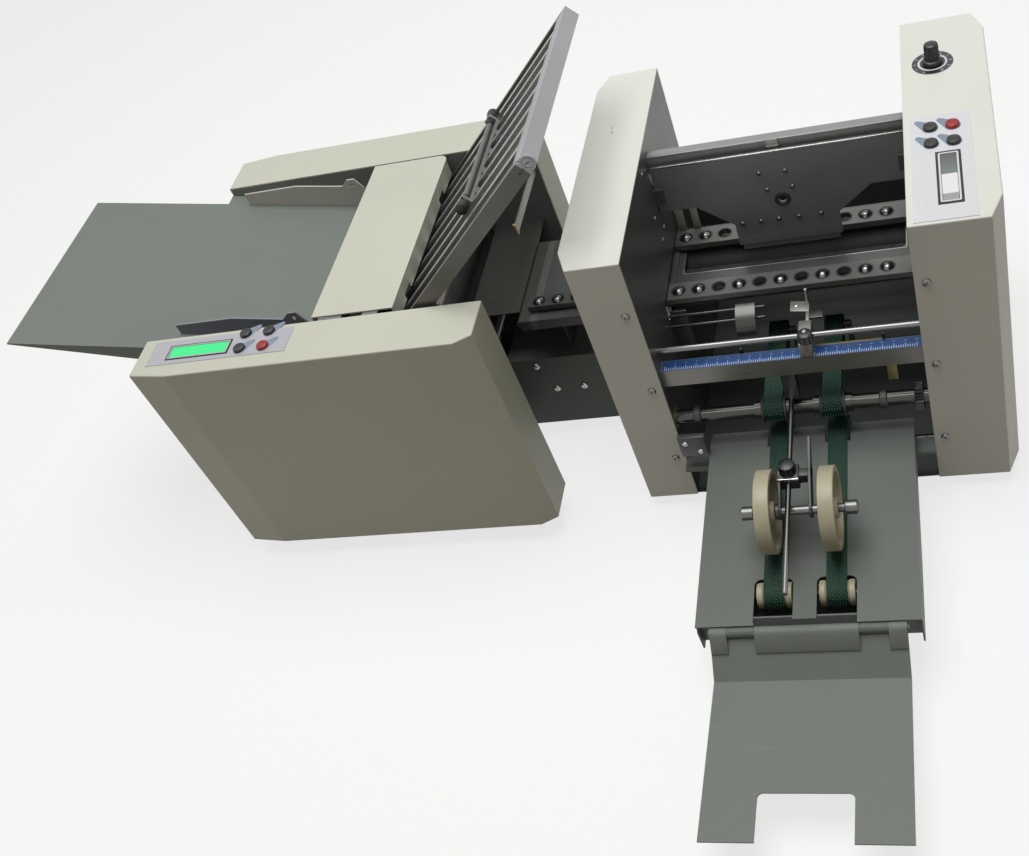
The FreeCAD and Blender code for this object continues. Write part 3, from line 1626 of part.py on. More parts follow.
def carrier_centre():
    return rod_line.at(along_at(rod_line, carrier_y))


def stacker_carrier():
    """The block on the stacker rod, its knob, and the two arms that hold the axle."""
    y, z = carrier_centre()
    half = carrier_length / 2
    x0, x1 = rod_x - carrier_width / 2, rod_x + carrier_width / 2
    top = z + carrier_depth / 2
    body = fuse(box(x0, x1, y - half, y + half, z - carrier_depth / 2, top),
                rod_along_z((rod_x, y), carrier_knob_radius, top, top + carrier_knob_height))
    line = math.atan2(wheel_centre[1] - z, wheel_centre[0] - y)
    arm = Slope((y, z), line)
    reach = math.dist((y, z), wheel_centre)
    for place in (x0 - arm_places[0], x1 + arm_places[1]):
        strip = slab_x(arm.strip(0, reach, -arm_height / 2, arm_height / 2), place, place + arm_thick)
        eye = rod_along_x(wheel_centre, arm_height, place, place + arm_thick)
        body = body.fuse(strip).fuse(eye)
    cross = box(x0 - arm_places[0], x1 + arm_places[1] + arm_thick, y - half, y + half,
                z - carrier_depth / 2, z - carrier_depth / 2 + arm_thick)
    blade_x = x1 + arm_places[1]
    tip = cross_near - hold_down_reach
    blade = slab_x([(y, z - carrier_depth / 2), (y, z), (tip, z), (tip, z - hold_down_height)],
                   blade_x, blade_x + arm_thick)
    body = body.fuse(cross).fuse(blade).removeSplitter()
    start = rod_line.at(along_at(rod_line, carrier_y - 2 * carrier_length))
    push = V(0, rod_line.along[0], rod_line.along[1])
    bore = Part.makeCylinder(rod_radius + run, 4 * carrier_length, V(rod_x, *start), push)
    eye_bore = rod_along_x(wheel_centre, axle_radius + run, x0 - carrier_width * 2, x1 + carrier_width * 2)
    return cut(body, bore, eye_bore)


def button(centre, top):
    """A push button with the rim that keeps it under the casing's top."""
    bottom = button_bottom(top)
    cap = rod_along_z(centre, button_radius, bottom, top + trim + button_rise)
    rim = rod_along_z(centre, button_radius + button_rim, bottom, bottom + button_rim_thick)
    return fuse(cap, rim)


def speed_knob():
    centre = dial_centre()
    low = cross_top + trim + gap
    skirt = rod_along_z(centre, knob_skirt_radius, low, low + knob_skirt)
    grip = rod_along_z(centre, knob_radius, low + knob_skirt, low + knob_height)
    shaft = rod_along_z(centre, knob_shaft_radius, cross_top - cover_wall - pot_depth / 2 + gap, low)
    return fuse(skirt, grip, shaft)


def screw(head_base, direction):
    """A pan head screw with a slot: the head outside and the shank in the sheet."""
    head = Part.makeCylinder(head_radius, head_height, head_base, direction)
    shank = Part.makeCylinder(screw_radius, screw_length, head_base, direction * -1)
    body = head.fuse(shank)
    slot = Part.makeBox(screw_slot, screw_slot, 2 * head_radius)
    slot.translate(V(-screw_slot / 2, -screw_slot / 2, -head_radius))
    slot.translate(head_base + direction * head_height)
    return body.cut(slot)


def cover_screw_levels():
    return [cross_foot + share * cross_body_height for share in cover_screw_shares]


def cover_screws():
    screws = []
    xs = (cross_left_face - screw_inset, cross_right_face + screw_inset)
    for x in xs:
        for z in cover_screw_levels():
            screws.append(screw(V(x, cross_near, z), V(0, -1, 0)))
            screws.append(screw(V(x, cross_far, z), V(0, 1, 0)))
    for x, z in bridge_screw_points():
        screws.append(screw(V(x, bridge_near, z), V(0, -1, 0)))
    return group(*screws)


def screw_holes(body, xs, faces):
    """Cut the shank holes of the casing screws."""
    for x in xs:
        for z in cover_screw_levels():
            for y in faces:
                reach = screw_length + run
                body = body.cut(rod_along_y((x, z), screw_radius, y - reach, y + reach))
    return body


def origin_shift():
    """Move the model so that its origin is under the middle of its outline."""
    left = tray.at(-tray_reach, -sheet)[0]
    near = flap_sections()[1].at(0, -sheet)[0]
    near = min(near, flap_end[0])
    return V(-(left + cross_right_out) / 2, -(near + main_width) / 2, 0)


def drilled(make, x):
    return lambda: screw_holes(make(), (x,), (cross_near, cross_far))


def all_nodes():
    """Every sub-part by its node name."""
    left_screw, right_screw = cross_left_face - screw_inset, cross_right_face + screw_inset
    nodes = {
        "main_near_cover": main_near_cover, "main_far_cover": main_far_cover,
        "main_frame_plates": main_frame_plates,
        "cross_frame_plates": lambda: screw_holes(cross_frame_plates(), (left_screw, right_screw),
                                                  (cross_near, cross_far)),
        "base_pans": base_pans, "main_tie_bars": main_tie_bars, "rubber_feet": rubber_feet,
        "feed_tray": feed_tray, "near_side_guide": near_side_guide, "far_side_guide": far_side_guide,
        "feeder_cover": feeder_cover, "feed_roller": feed_roller, "roller_bearings": roller_bearings,
        "upper_plate_frame": upper_plate_frame, "upper_plate_grille": upper_plate_grille,
        "upper_paper_stop": upper_paper_stop, "stop_clamp_shaft": stop_clamp_shaft,
        "lower_fold_plate": lower_fold_plate, "control_panels": control_panels, "displays": displays,
        "control_electronics": control_electronics, "power_inlet": power_inlet,
        "drive_motors": drive_motors, "drive_belts": drive_belts,
        "cross_left_cover": drilled(cross_left_cover, left_screw),
        "cross_right_cover": drilled(cross_right_cover, right_screw),
        "transfer_table": transfer_table, "bridge_box": bridge_box, "register_table": register_table,
        "ball_rails": ball_rails, "register_balls": register_balls, "folding_knife": folding_knife,
        "cross_bars": cross_bars, "ruler_bar": ruler_bar, "guide_rods": guide_rods,
        "rod_clamp": rod_clamp, "belt_drive_roller": belt_drive_roller,
        "delivery_drive_shaft": delivery_drive_shaft, "belt_tail_roller": belt_tail_roller,
        "delivery_belts": delivery_belts, "delivery_table": delivery_table, "delivery_flap": delivery_flap,
        "stacker_carrier": stacker_carrier, "stacker_wheels": stacker_wheels, "speed_knob": speed_knob,
        "cover_screws": cover_screws,
    }
    for place in range(len(main_centres)):
        nodes[f"fold_roller_{place + 1}"] = lambda place=place: fold_roller(place)
    for place in range(len(cross_rollers())):
        nodes[f"cross_roller_{place + 1}"] = lambda place=place: cross_roller(place)
    for place, centre in enumerate(main_button_centres(), 1):
        nodes[f"main_button_{place}"] = lambda centre=centre: button(centre, main_top)
    for place, centre in enumerate(cross_button_centres(), 1):
        nodes[f"cross_button_{place}"] = lambda centre=centre: button(centre, cross_top)
    return nodes


def main():
    os.makedirs("parts", exist_ok=True)
    shift = origin_shift()
    for name, make in all_nodes().items():
        shape = make().copy()
        shape.translate(shift)
        shape.exportStep(f"parts/{name}.step")
        print(name, len(shape.Solids), round(shape.Volume), shape.isValid())


if __name__ == "__main__":
    main()
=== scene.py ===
"""Finishes, small fittings, lights and camera of a two-unit desk paper folding machine.

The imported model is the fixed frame. New pieces are placed from the boxes of its nodes, in metres, with +X
along the sheet's way through the first unit, +Y away from the delivery side and +Z up.
"""

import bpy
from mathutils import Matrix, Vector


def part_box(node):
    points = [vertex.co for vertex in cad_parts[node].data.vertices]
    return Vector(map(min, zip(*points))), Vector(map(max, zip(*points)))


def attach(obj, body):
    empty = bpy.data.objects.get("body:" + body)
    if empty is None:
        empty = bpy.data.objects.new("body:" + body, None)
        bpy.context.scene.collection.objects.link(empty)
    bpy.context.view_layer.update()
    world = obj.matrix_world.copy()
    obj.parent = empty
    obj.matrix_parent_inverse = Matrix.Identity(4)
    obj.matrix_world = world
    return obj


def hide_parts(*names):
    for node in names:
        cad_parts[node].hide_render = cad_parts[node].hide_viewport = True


bl_info = {
    "name": "Paper folding machine finish",
    "version": (1, 0, 0),
    "blender": (4, 5, 0),
    "location": "View3D > Sidebar > Folder",
    "description": "Dresses the packed folding machine with finishes, knobs, buttons, screws and wheels",
    "category": "Object",
}

import bmesh
import bpy
import math
from bpy.props import FloatProperty, FloatVectorProperty, IntProperty, PointerProperty
from mathutils import Euler, Matrix, Vector

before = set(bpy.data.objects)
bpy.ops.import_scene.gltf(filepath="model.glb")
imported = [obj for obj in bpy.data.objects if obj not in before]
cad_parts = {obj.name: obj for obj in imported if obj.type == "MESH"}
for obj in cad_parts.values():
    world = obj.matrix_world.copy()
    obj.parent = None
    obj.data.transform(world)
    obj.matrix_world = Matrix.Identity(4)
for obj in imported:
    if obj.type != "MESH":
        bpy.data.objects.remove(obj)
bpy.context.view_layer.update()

MM = 0.001
TURN = 2 * math.pi
QUARTER = math.pi / 2

NEAR_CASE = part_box("main_near_cover")
LEFT_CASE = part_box("cross_left_cover")
RIGHT_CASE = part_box("cross_right_cover")
PLATE_ANGLE = math.radians(42.5)
NIP = Vector((NEAR_CASE[0].x + 232 * MM, 0, NEAR_CASE[1].z - 62.5 * MM))
PLATE_ALONG = Vector((math.cos(PLATE_ANGLE), 0, math.sin(PLATE_ANGLE)))
END_BAR_START = NIP.dot(PLATE_ALONG) + 289.6 * MM
BALL_PATTERN = "xx-x-x-x-xx"
SIDE_BALLS = 3
WHEEL_OFFSETS = (-27.5, 27.5)
BELT_OFFSETS = (-23.5, 31.5)
HINGE = (-169, 67.47)


def paint(red, green, blue):
    """A screen colour, 0 to 255, as the linear colour that Blender uses."""
    shares = [channel / 255 for channel in (red, green, blue)]
    return tuple(share / 12.92 if share <= 0.04045 else ((share + 0.055) / 1.055) ** 2.4 for share in shares)


def colour(name, about, red, green, blue):
    return FloatVectorProperty(name=name, description=about, subtype="COLOR", size=3, min=0, max=1,
                               default=paint(red, green, blue))


def length(name, about, millimetres):
    return FloatProperty(name=name, description=about, unit="LENGTH", default=millimetres * MM, precision=5)


class FolderColours(bpy.types.PropertyGroup):
    """The colours of the finishes."""
    cream: colour("Cream paint", "Casings and lift-off cover of the first unit", 203, 204, 190)
    light: colour("Light paint", "Casings of the second unit", 226, 227, 220)
    tray: colour("Tray paint", "Grey-green paint of the feed tray", 120, 127, 121)
    # The table paint is the tray's grey-green made darker: painted shade, as the delivery table lies lower
    # down in the second unit's shadow; the sheet box shares it.
    table: colour("Table paint", "Darker grey-green paint of the delivery table and sheet box", 106, 112, 107)
    flap: colour("Flap paint", "The hinged flap", 122, 128, 122)
    transfer: colour("Transfer table paint", "The table between the units", 85, 89, 86)
    plate: colour("Plate paint", "Side frame plates of the first unit", 126, 129, 127)
    wall: colour("Wall paint", "Side frame plates of the second unit", 82, 85, 81)
    pan: colour("Pan paint", "Floors and inner bars", 72, 76, 73)
    knife: colour("Knife paint", "The knife's carrier plate", 128, 133, 134)
    guide: colour("Guide paint", "The near side guide", 140, 142, 150)
    chrome: colour("Chrome", "Rods and balls", 118, 118, 116)
    screw: colour("Screw zinc", "Screw heads and collars", 186, 186, 182)
    steel: colour("Ground steel", "The register table", 97, 100, 96)
    ball_rail: colour("Rail steel", "The rails of the register balls", 118, 120, 116)
    bar: colour("Grille steel", "Bars of the fold plates", 150, 150, 148)
    aluminium: colour("Aluminium", "Ruler bar, brackets and clamp", 132, 131, 126)
    rail: colour("Rail grey", "Side rails of the fold plate", 85, 85, 79)
    end_bar: colour("End bar grey", "The fold plate's end bar", 170, 168, 173)
    rubber: colour("Rubber", "Rollers and feet", 40, 40, 40)
    black: colour("Black plastic", "Buttons and knobs", 22, 22, 24)
    red: colour("Red plastic", "The stop buttons", 150, 24, 28)
    ivory: colour("Ivory plastic", "Stacker wheels and tail rollers", 180, 174, 148)
    belt: colour("Belt green", "The delivery belts", 4, 53, 38)
    film: colour("Panel film", "The first unit's control panel", 184, 184, 193)
    film_cross: colour("Pale film", "The second unit's control panel", 236, 238, 241)
    mark: colour("Blue mark", "Printed marks beside the buttons", 128, 146, 164)
    scale: colour("Scale blue", "The ruler's strip", 28, 86, 156)
    lit: colour("Lit display", "The green display", 22, 226, 122)
    brass: colour("Bush metal", "Bushes and the exit arm's tab", 196, 176, 122)
    board: colour("Board green", "Circuit boards", 24, 84, 50)


class FolderSizes(bpy.types.PropertyGroup):
    """The sizes of the fittings that the scene adds."""
    button_radius: length("Button radius", "Outer radius of a push button's cap", 6.0)
    button_dish: length("Button dish", "Depth of the hollow in a button's cap", 0.7)
    mark_reach: length("Mark reach", "How far a printed mark runs from its button", 14.5)
    mark_end: length("Mark end", "Radius of a printed mark's narrow end", 2.6)
    print_thick: length("Print thickness", "How far printed marks stand off their film", 0.12)
    knob_flutes: IntProperty(name="Knob flutes", description="Flutes round the speed knob", default=18)
    screw_radius: length("Screw radius", "Head radius of a casing screw", 4.0)
    small_screw: length("Small screw radius", "Head radius of a small screw", 2.6)
    ball_radius: length("Ball radius", "Radius of a register ball", 6.0)
    tick_width: length("Tick width", "Width of a scale tick", 0.45)
    digit_height: length("Digit height", "Height of a printed digit", 2.3)


class FolderStage(bpy.types.PropertyGroup):
    """The camera, the lamps and the floor."""
    lens: FloatProperty(name="Lens", description="Focal length on a 36 mm sensor", unit="CAMERA",
                        default=43.5)
    shift: FloatProperty(name="Shift", description="Sideways shift of the picture's middle", default=-0.0831)
    turn: FloatVectorProperty(name="Camera turn", description="The camera's rotation", subtype="EULER",
                              default=tuple(math.radians(a) for a in (43.765, 15.905, 8.251)))
    place: FloatVectorProperty(name="Camera place",
                               description="The camera, from the near casing's left foot",
                               subtype="TRANSLATION", default=(0.7911, -0.7632, 0.9701))
    key_power: FloatProperty(name="Key power", description="Power of the lamp overhead", unit="POWER",
                             default=39)
    key_size: length("Key size", "Side of the lamp overhead", 1500)
    fill: FloatProperty(name="Fill", description="Light of the surroundings", default=0.165)
    warmth: FloatVectorProperty(name="Fill tint", description="Warm tint of the surroundings' light",
                                subtype="COLOR", size=3, min=0, max=1, default=(1.0, 0.91, 0.79))
    floor: colour("Floor", "The floor around the machine", 250, 250, 250)


def settings():
    scene = bpy.context.scene
    return scene.folder_colours, scene.folder_sizes, scene.folder_stage


class Value:
    """A shader value in an expression. Each sum or product adds its Math node."""

    def __init__(self, graph, socket):
        self.graph, self.socket = graph, socket

    def sum_of(self, operation, *terms):
        return self.graph.add("ShaderNodeMath", {"operation": operation}, dict(enumerate(terms)))

    def __add__(self, other):
        return self.sum_of("ADD", self, other)

    def __radd__(self, other):
        return self.sum_of("ADD", other, self)

    def __sub__(self, other):
        return self.sum_of("SUBTRACT", self, other)

    def __rsub__(self, other):
        return self.sum_of("SUBTRACT", other, self)

    def __mul__(self, other):
        return self.sum_of("MULTIPLY", self, other)

    def __rmul__(self, other):
        return self.sum_of("MULTIPLY", other, self)

    def __gt__(self, other):
        return self.sum_of("GREATER_THAN", self, other)

    def __lt__(self, other):
        return self.sum_of("LESS_THAN", self, other)

    def between(self, low, high):
        """0 at low and 1 at high, held at both ends."""
        return self.graph.add("ShaderNodeMapRange", {"clamp": True}, {0: self, 1: low, 2: high})


class Graph:
    """The nodes of one material or world."""

    def __init__(self, owner):
        owner.use_nodes = True
        self.owner, self.tree = owner, owner.node_tree
        self.tree.nodes.clear()

    def add(self, kind, options, sockets, out=0):
        """Add a node: its options are set first, then the values or links of its sockets."""
        node = self.tree.nodes.new(kind)
        for name, value in options.items():
            setattr(node, name, value)
        for key, value in sockets.items():
            if isinstance(value, Value):
                self.tree.links.new(value.socket, node.inputs[key])
            else:
                node.inputs[key].default_value = value
        return Value(self, node.outputs[out]) if node.outputs else node

    def place(self, scale=(1, 1, 1), turn=(0, 0, 0)):
        """The object's own coordinates, stretched or turned."""
        here = self.add("ShaderNodeTexCoord", {}, {}, out="Object")
        return self.add("ShaderNodeMapping", {}, {"Vector": here, "Scale": scale, "Rotation": turn})

    def noise(self, scale, detail=2.0, stretch=(1, 1, 1), turn=(0, 0, 0)):
        return self.add("ShaderNodeTexNoise", {}, {"Vector": self.place(stretch, turn), "Scale": scale,
                                                   "Detail": detail})

    def cells(self, scale, stretch=(1, 1, 1)):
        return self.add("ShaderNodeTexVoronoi", {}, {"Vector": self.place(stretch), "Scale": scale})

    def axis(self, name):
        return self.add("ShaderNodeSeparateXYZ", {}, {0: self.place()}, out="XYZ".index(name))

    def mix(self, factor, first, second):
        """A colour between two colours."""
        first, second = [c if isinstance(c, Value) else (*c, 1) for c in (first, second)]
        return self.add("ShaderNodeMix", {"data_type": "RGBA"}, {0: factor, 6: first, 7: second}, out=2)

    def bump(self, height, distance, strength=1.0):
        return self.add("ShaderNodeBump", {}, {"Height": height, "Distance": distance, "Strength": strength})

    def surface(self, sockets):
        shader = self.add("ShaderNodeBsdfPrincipled", {}, sockets)
        self.add("ShaderNodeOutputMaterial", {}, {0: shader})
        return self.owner


def shade(tone, share):
    """A colour made lighter, over 1, or darker."""
    return tuple(min(1, channel * share) for channel in tone)


def painted_sheet(name, tone, roughness=0.42, wear=0.05):
    """Sprayed paint on sheet metal: fine orange peel, faint clouds and a duller lower edge."""
    graph = Graph(bpy.data.materials.new(name))
    clouds = graph.noise(7, detail=4)
    specks = graph.noise(260, detail=3)
    low = 1 - graph.axis("Z").between(0.02, 0.12)
    tone = tuple(tone)
    base = graph.mix(clouds.between(0.3, 0.7), shade(tone, 0.965), shade(tone, 1.03))
    base = graph.mix(specks.between(0.62, 0.8) * wear * 2, base, shade(tone, 0.6))
    base = graph.mix(low * clouds * wear * 3, base, shade(tone, 0.55))
    peel = graph.noise(900, detail=1)
    return graph.surface({"Base Color": base, "Roughness": roughness + (clouds - 0.5) * 0.16,
                          "Normal": graph.bump(peel, 0.06 * MM, 0.5), "Specular IOR Level": 0.4})


def textured_paint(name, tone):
    """The trays' paint: a tight leather-like grain with tiny lighter tips."""
    graph = Graph(bpy.data.materials.new(name))
    grain = graph.cells(1100)
    clouds = graph.noise(9, detail=4)
    scuffs = graph.noise(40, detail=5, stretch=(1, 6, 1))
    tone = tuple(tone)
    base = graph.mix(clouds.between(0.3, 0.7), shade(tone, 0.94), shade(tone, 1.05))
    base = graph.mix(grain.between(0.1, 0.6) * 0.3, base, shade(tone, 0.8))
    base = graph.mix(scuffs.between(0.66, 0.8) * 0.25, base, shade(tone, 1.35))
    return graph.surface({"Base Color": base, "Roughness": 0.52 + (clouds - 0.5) * 0.2,
                          "Normal": graph.bump(1 - grain, 0.05 * MM, 0.35), "Specular IOR Level": 0.35})


def bare_metal(name, tone, roughness=0.3, streak=0.18, metallic=1.0):
    """Drawn or brushed metal: long fine streaks along X and faint smudges."""
    graph = Graph(bpy.data.materials.new(name))
    streaks = graph.noise(1500, detail=3, stretch=(0.03, 1, 1))
    smudges = graph.noise(22, detail=4)
    tone = tuple(tone)
    base = graph.mix(streaks, shade(tone, 1 - streak), shade(tone, 1 + streak))
    base = graph.mix(smudges.between(0.5, 0.75) * 0.3, base, shade(tone, 0.72))
    rough = roughness + (smudges - 0.5) * 0.25 + (streaks - 0.5) * 0.12
    return graph.surface({"Base Color": base, "Metallic": metallic, "Roughness": rough,
                          "Normal": graph.bump(streaks, 0.012 * MM, 0.5)})


def polished(name, tone, roughness=0.1):
    """Chromed or ground steel with a few hairlines and fingermarks."""
    graph = Graph(bpy.data.materials.new(name))
    hairs = graph.noise(900, detail=2, stretch=(0.05, 1, 1))
    marks = graph.noise(30, detail=5)
    base = graph.mix(marks.between(0.55, 0.8) * 0.35, tuple(tone), shade(tuple(tone), 0.7))
    return graph.surface({"Base Color": base, "Metallic": 1.0,
                          "Roughness": roughness + marks.between(0.5, 0.8) * 0.15 + hairs * 0.05})


def moulded(name, tone, roughness=0.4, dirt=0.15):
    """Moulded plastic: a fine spark texture, faint flow clouds and dust in patches."""
    graph = Graph(bpy.data.materials.new(name))
    clouds = graph.noise(60, detail=3)
    spark = graph.noise(2400, detail=2)
    tone = tuple(tone)
    base = graph.mix(clouds.between(0.35, 0.7), shade(tone, 0.95), shade(tone, 1.06))
    base = graph.mix(graph.noise(150, detail=5).between(0.55, 0.75) * dirt, base, shade(tone, 0.62))
    return graph.surface({"Base Color": base, "Roughness": roughness + (clouds - 0.5) * 0.2,
                          "Normal": graph.bump(spark, 0.03 * MM, 0.4)})


def rubber(name, tone, grain=500.0):
    """Ground rubber: dull, with fine pits and paper dust."""
    graph = Graph(bpy.data.materials.new(name))
    pits = graph.cells(grain)
    dust = graph.noise(90, detail=5)
    tone = tuple(tone)
    base = graph.mix(dust.between(0.45, 0.8) * 0.5, tone, shade(tone, 2.6))
    return graph.surface({"Base Color": base, "Roughness": 0.78 + (dust - 0.5) * 0.2,
                          "Normal": graph.bump(pits, 0.04 * MM, 0.5)})


def belt_cover(name, tone, pitch=1.75 * MM):
    """The green belts: rows of small pale dots, each between its neighbours of the next row."""
    graph = Graph(bpy.data.materials.new(name))
    knots = graph.add("ShaderNodeTexVoronoi", {"voronoi_dimensions": "2D"},
                      {"Vector": graph.place(turn=(0, 0, QUARTER / 2)), "Scale": 1 / pitch,
                       "Randomness": 0.12})
    wear = graph.noise(45, detail=4, stretch=(1, 0.2, 0.2))
    tone = tuple(tone)
    base = graph.mix(knots.between(0.15, 0.5), shade(tone, 1.2), shade(tone, 0.6))
    base = graph.mix(1 - knots.between(0.16, 0.27), base, (0.16, 0.23, 0.19))
    base = graph.mix(wear.between(0.5, 0.8) * 0.45, base, shade(tone, 0.4))
    return graph.surface({"Base Color": base, "Roughness": 0.62,
                          "Normal": graph.bump(1 - knots, 0.12 * MM, 0.6),
                          "Specular IOR Level": 0.15})


def fold_plate_paint(name, rail, end_bar):
    """The fold plate's frame: grey rails, and a paler, faintly violet end bar."""
    graph = Graph(bpy.data.materials.new(name))
    along = graph.axis("X") * PLATE_ALONG.x + graph.axis("Z") * PLATE_ALONG.z
    end = along > END_BAR_START
    streaks = graph.noise(700, detail=3, stretch=(1, 0.04, 1))
    clouds = graph.noise(14, detail=4)
    rail, end_bar = tuple(rail), tuple(end_bar)
    base = graph.mix(end, rail, end_bar)
    base = graph.mix(clouds.between(0.35, 0.7) * 0.3, base, (0.3, 0.27, 0.26))
    return graph.surface({"Base Color": base, "Metallic": 0.35, "Roughness": 0.38 + (streaks - 0.5) * 0.2,
                          "Normal": graph.bump(streaks, 0.02 * MM, 0.4)})


def film_print(name, tone, beyond=None):
    """The panel film: satin, with a faint dot screen. The second unit's film has its own colour."""
    graph = Graph(bpy.data.materials.new(name))
    dots = graph.cells(1600)
    tone = tuple(tone)
    if beyond:
        here = graph.axis("X") > NEAR_CASE[1].x
        tone = graph.mix(here, tone, tuple(beyond))
        base = graph.mix(dots.between(0.2, 0.5) * 0.35, tone, (0.42, 0.42, 0.46))
        return graph.surface({"Base Color": base, "Roughness": 0.36, "Coat Weight": 0.12,
                              "Normal": graph.bump(dots, 0.01 * MM, 0.3)})
    base = graph.mix(dots.between(0.2, 0.5) * 0.4, tone, shade(tone, 0.92))
    base = graph.mix(graph.noise(25, detail=4).between(0.5, 0.8) * 0.2, base, shade(tone, 1.12))
    return graph.surface({"Base Color": base, "Roughness": 0.34, "Coat Weight": 0.15,
                          "Normal": graph.bump(dots, 0.01 * MM, 0.3)})


def transfer_paint(name, tone):
    """The transfer table: grey-green between the units; browner and darker inside the first unit, which is
    painted shade where the table runs in under that unit; and a lighter band along the rounded lip at that
    unit's end, which is a painted highlight.
    """
    graph = Graph(bpy.data.materials.new(name))
    grain = graph.cells(1100)
    clouds = graph.noise(11, detail=5)
    # Painted shade: the table is made darker and browner where it runs in under the first unit.
    inside = 1 - graph.axis("X").between(NEAR_CASE[1].x - 4 * MM, NEAR_CASE[1].x + 10 * MM)
    tone = tuple(tone)
    base = graph.mix(clouds.between(0.3, 0.7), shade(tone, 0.86), shade(tone, 1.12))
    base = graph.mix(inside * 0.8, base, paint(60, 57, 53))
    # Painted highlight: a lighter band along the rounded lip at the near casing's end.
    lip_highlight = (graph.axis("X") > NEAR_CASE[1].x - 1 * MM) * (graph.axis("X") < NEAR_CASE[1].x + 7 * MM)
    base = graph.mix(lip_highlight * 0.8, base, shade(tone, 1.7))
    base = graph.mix(grain.between(0.1, 0.6) * 0.3, base, shade(tone, 0.7))
    return graph.surface({"Base Color": base, "Roughness": 0.45 + (clouds - 0.5) * 0.2,
                          "Normal": graph.bump(1 - grain, 0.04 * MM, 0.3), "Specular IOR Level": 0.35})


def bar_paint(name, tone):
    """The inner bars: dull and dark low down, and lighter for the bar over the throat."""
    graph = Graph(bpy.data.materials.new(name))
    high = graph.axis("Z").between(0.262, 0.27)
    clouds = graph.noise(16, detail=4)
    streaks = graph.noise(900, detail=3, stretch=(0.04, 1, 1))
    tone = tuple(tone)
    base = graph.mix(clouds.between(0.3, 0.7), shade(tone, 0.8), shade(tone, 1.2))
    base = graph.mix(high, base, paint(148, 151, 151))
    base = graph.mix(streaks * 0.2, base, shade(tone, 0.6))
    return graph.surface({"Base Color": base, "Metallic": high * 0.3,
                          "Roughness": 0.46 + (clouds - 0.5) * 0.2,
                          "Normal": graph.bump(streaks, 0.01 * MM, 0.4)})


def rail_steel(name, tone):
    """The ball rails: ground steel, darkened by painted shade where the side rail runs into the bridge."""
    graph = Graph(bpy.data.materials.new(name))
    # Painted shade: the steel is made much darker where the side rail runs into the bridge.
    inside = graph.axis("X") < LEFT_CASE[0].x
    streaks = graph.noise(1500, detail=3, stretch=(0.03, 1, 1))
    smudges = graph.noise(26, detail=4)
    tone = tuple(tone)
    base = graph.mix(streaks, shade(tone, 0.84), shade(tone, 1.16))
    base = graph.mix(smudges.between(0.5, 0.75) * 0.35, base, shade(tone, 0.6))
    base = graph.mix(inside * 0.7, base, shade(tone, 0.3))
    return graph.surface({"Base Color": base, "Metallic": 0.7, "Roughness": 0.36 + (smudges - 0.5) * 0.25,
                          "Normal": graph.bump(streaks, 0.012 * MM, 0.5)})


def lit_pane(name, tone, pitch):
    """A lit display: bright green with a faint grid of character cells."""
    graph = Graph(bpy.data.materials.new(name))
    cell = graph.add("ShaderNodeTexBrick", {"offset": 0.0, "squash": 1.0},
                     {"Vector": graph.place((1, 1, 1)), "Scale": 1 / pitch, "Mortar Size": 0.06,
                      "Brick Width": 1.0, "Row Height": 1.6, "Color1": (1, 1, 1, 1), "Color2": (1, 1, 1, 1),
                      "Mortar": (0, 0, 0, 1)}, out="Fac")
    tone = tuple(tone)
    glow = graph.mix(cell * 0.5, tone, shade(tone, 0.62))
    return graph.surface({"Base Color": (0.02, 0.2, 0.1, 1), "Roughness": 0.2, "Emission Color": glow,
                          "Emission Strength": 0.9})


def banded_pane(name, low, high):
    """The second display: grey-green glass with a painted reflection, a pale band across its middle, and a
    grey near end.
    """
    graph = Graph(bpy.data.materials.new(name))
    up = graph.axis("Y").between(low, high)
    grain = graph.noise(120, detail=3)
    base = graph.mix(up.between(0.6, 1.0) + grain * 0.1, (0.16, 0.2, 0.18), (0.075, 0.085, 0.08))
    # Painted reflection: a pale band across the pane's middle stands for a lamp mirrored in the glass.
    base = graph.mix(1 - up.between(0.55, 0.57), base, (0.83, 0.85, 0.85))
    base = graph.mix(1 - up.between(0.13, 0.15), base, (0.34, 0.35, 0.36))
    return graph.surface({"Base Color": base, "Roughness": 0.12, "Coat Weight": 0.5})


def smoked_block(name):
    """Smoked acrylic, hazy and half clear."""
    graph = Graph(bpy.data.materials.new(name))
    haze = graph.noise(300, detail=3)
    base = graph.mix(haze, (0.34, 0.33, 0.33), (0.5, 0.49, 0.48))
    return graph.surface({"Base Color": base, "Roughness": 0.22 + haze * 0.1, "Transmission Weight": 0.3})


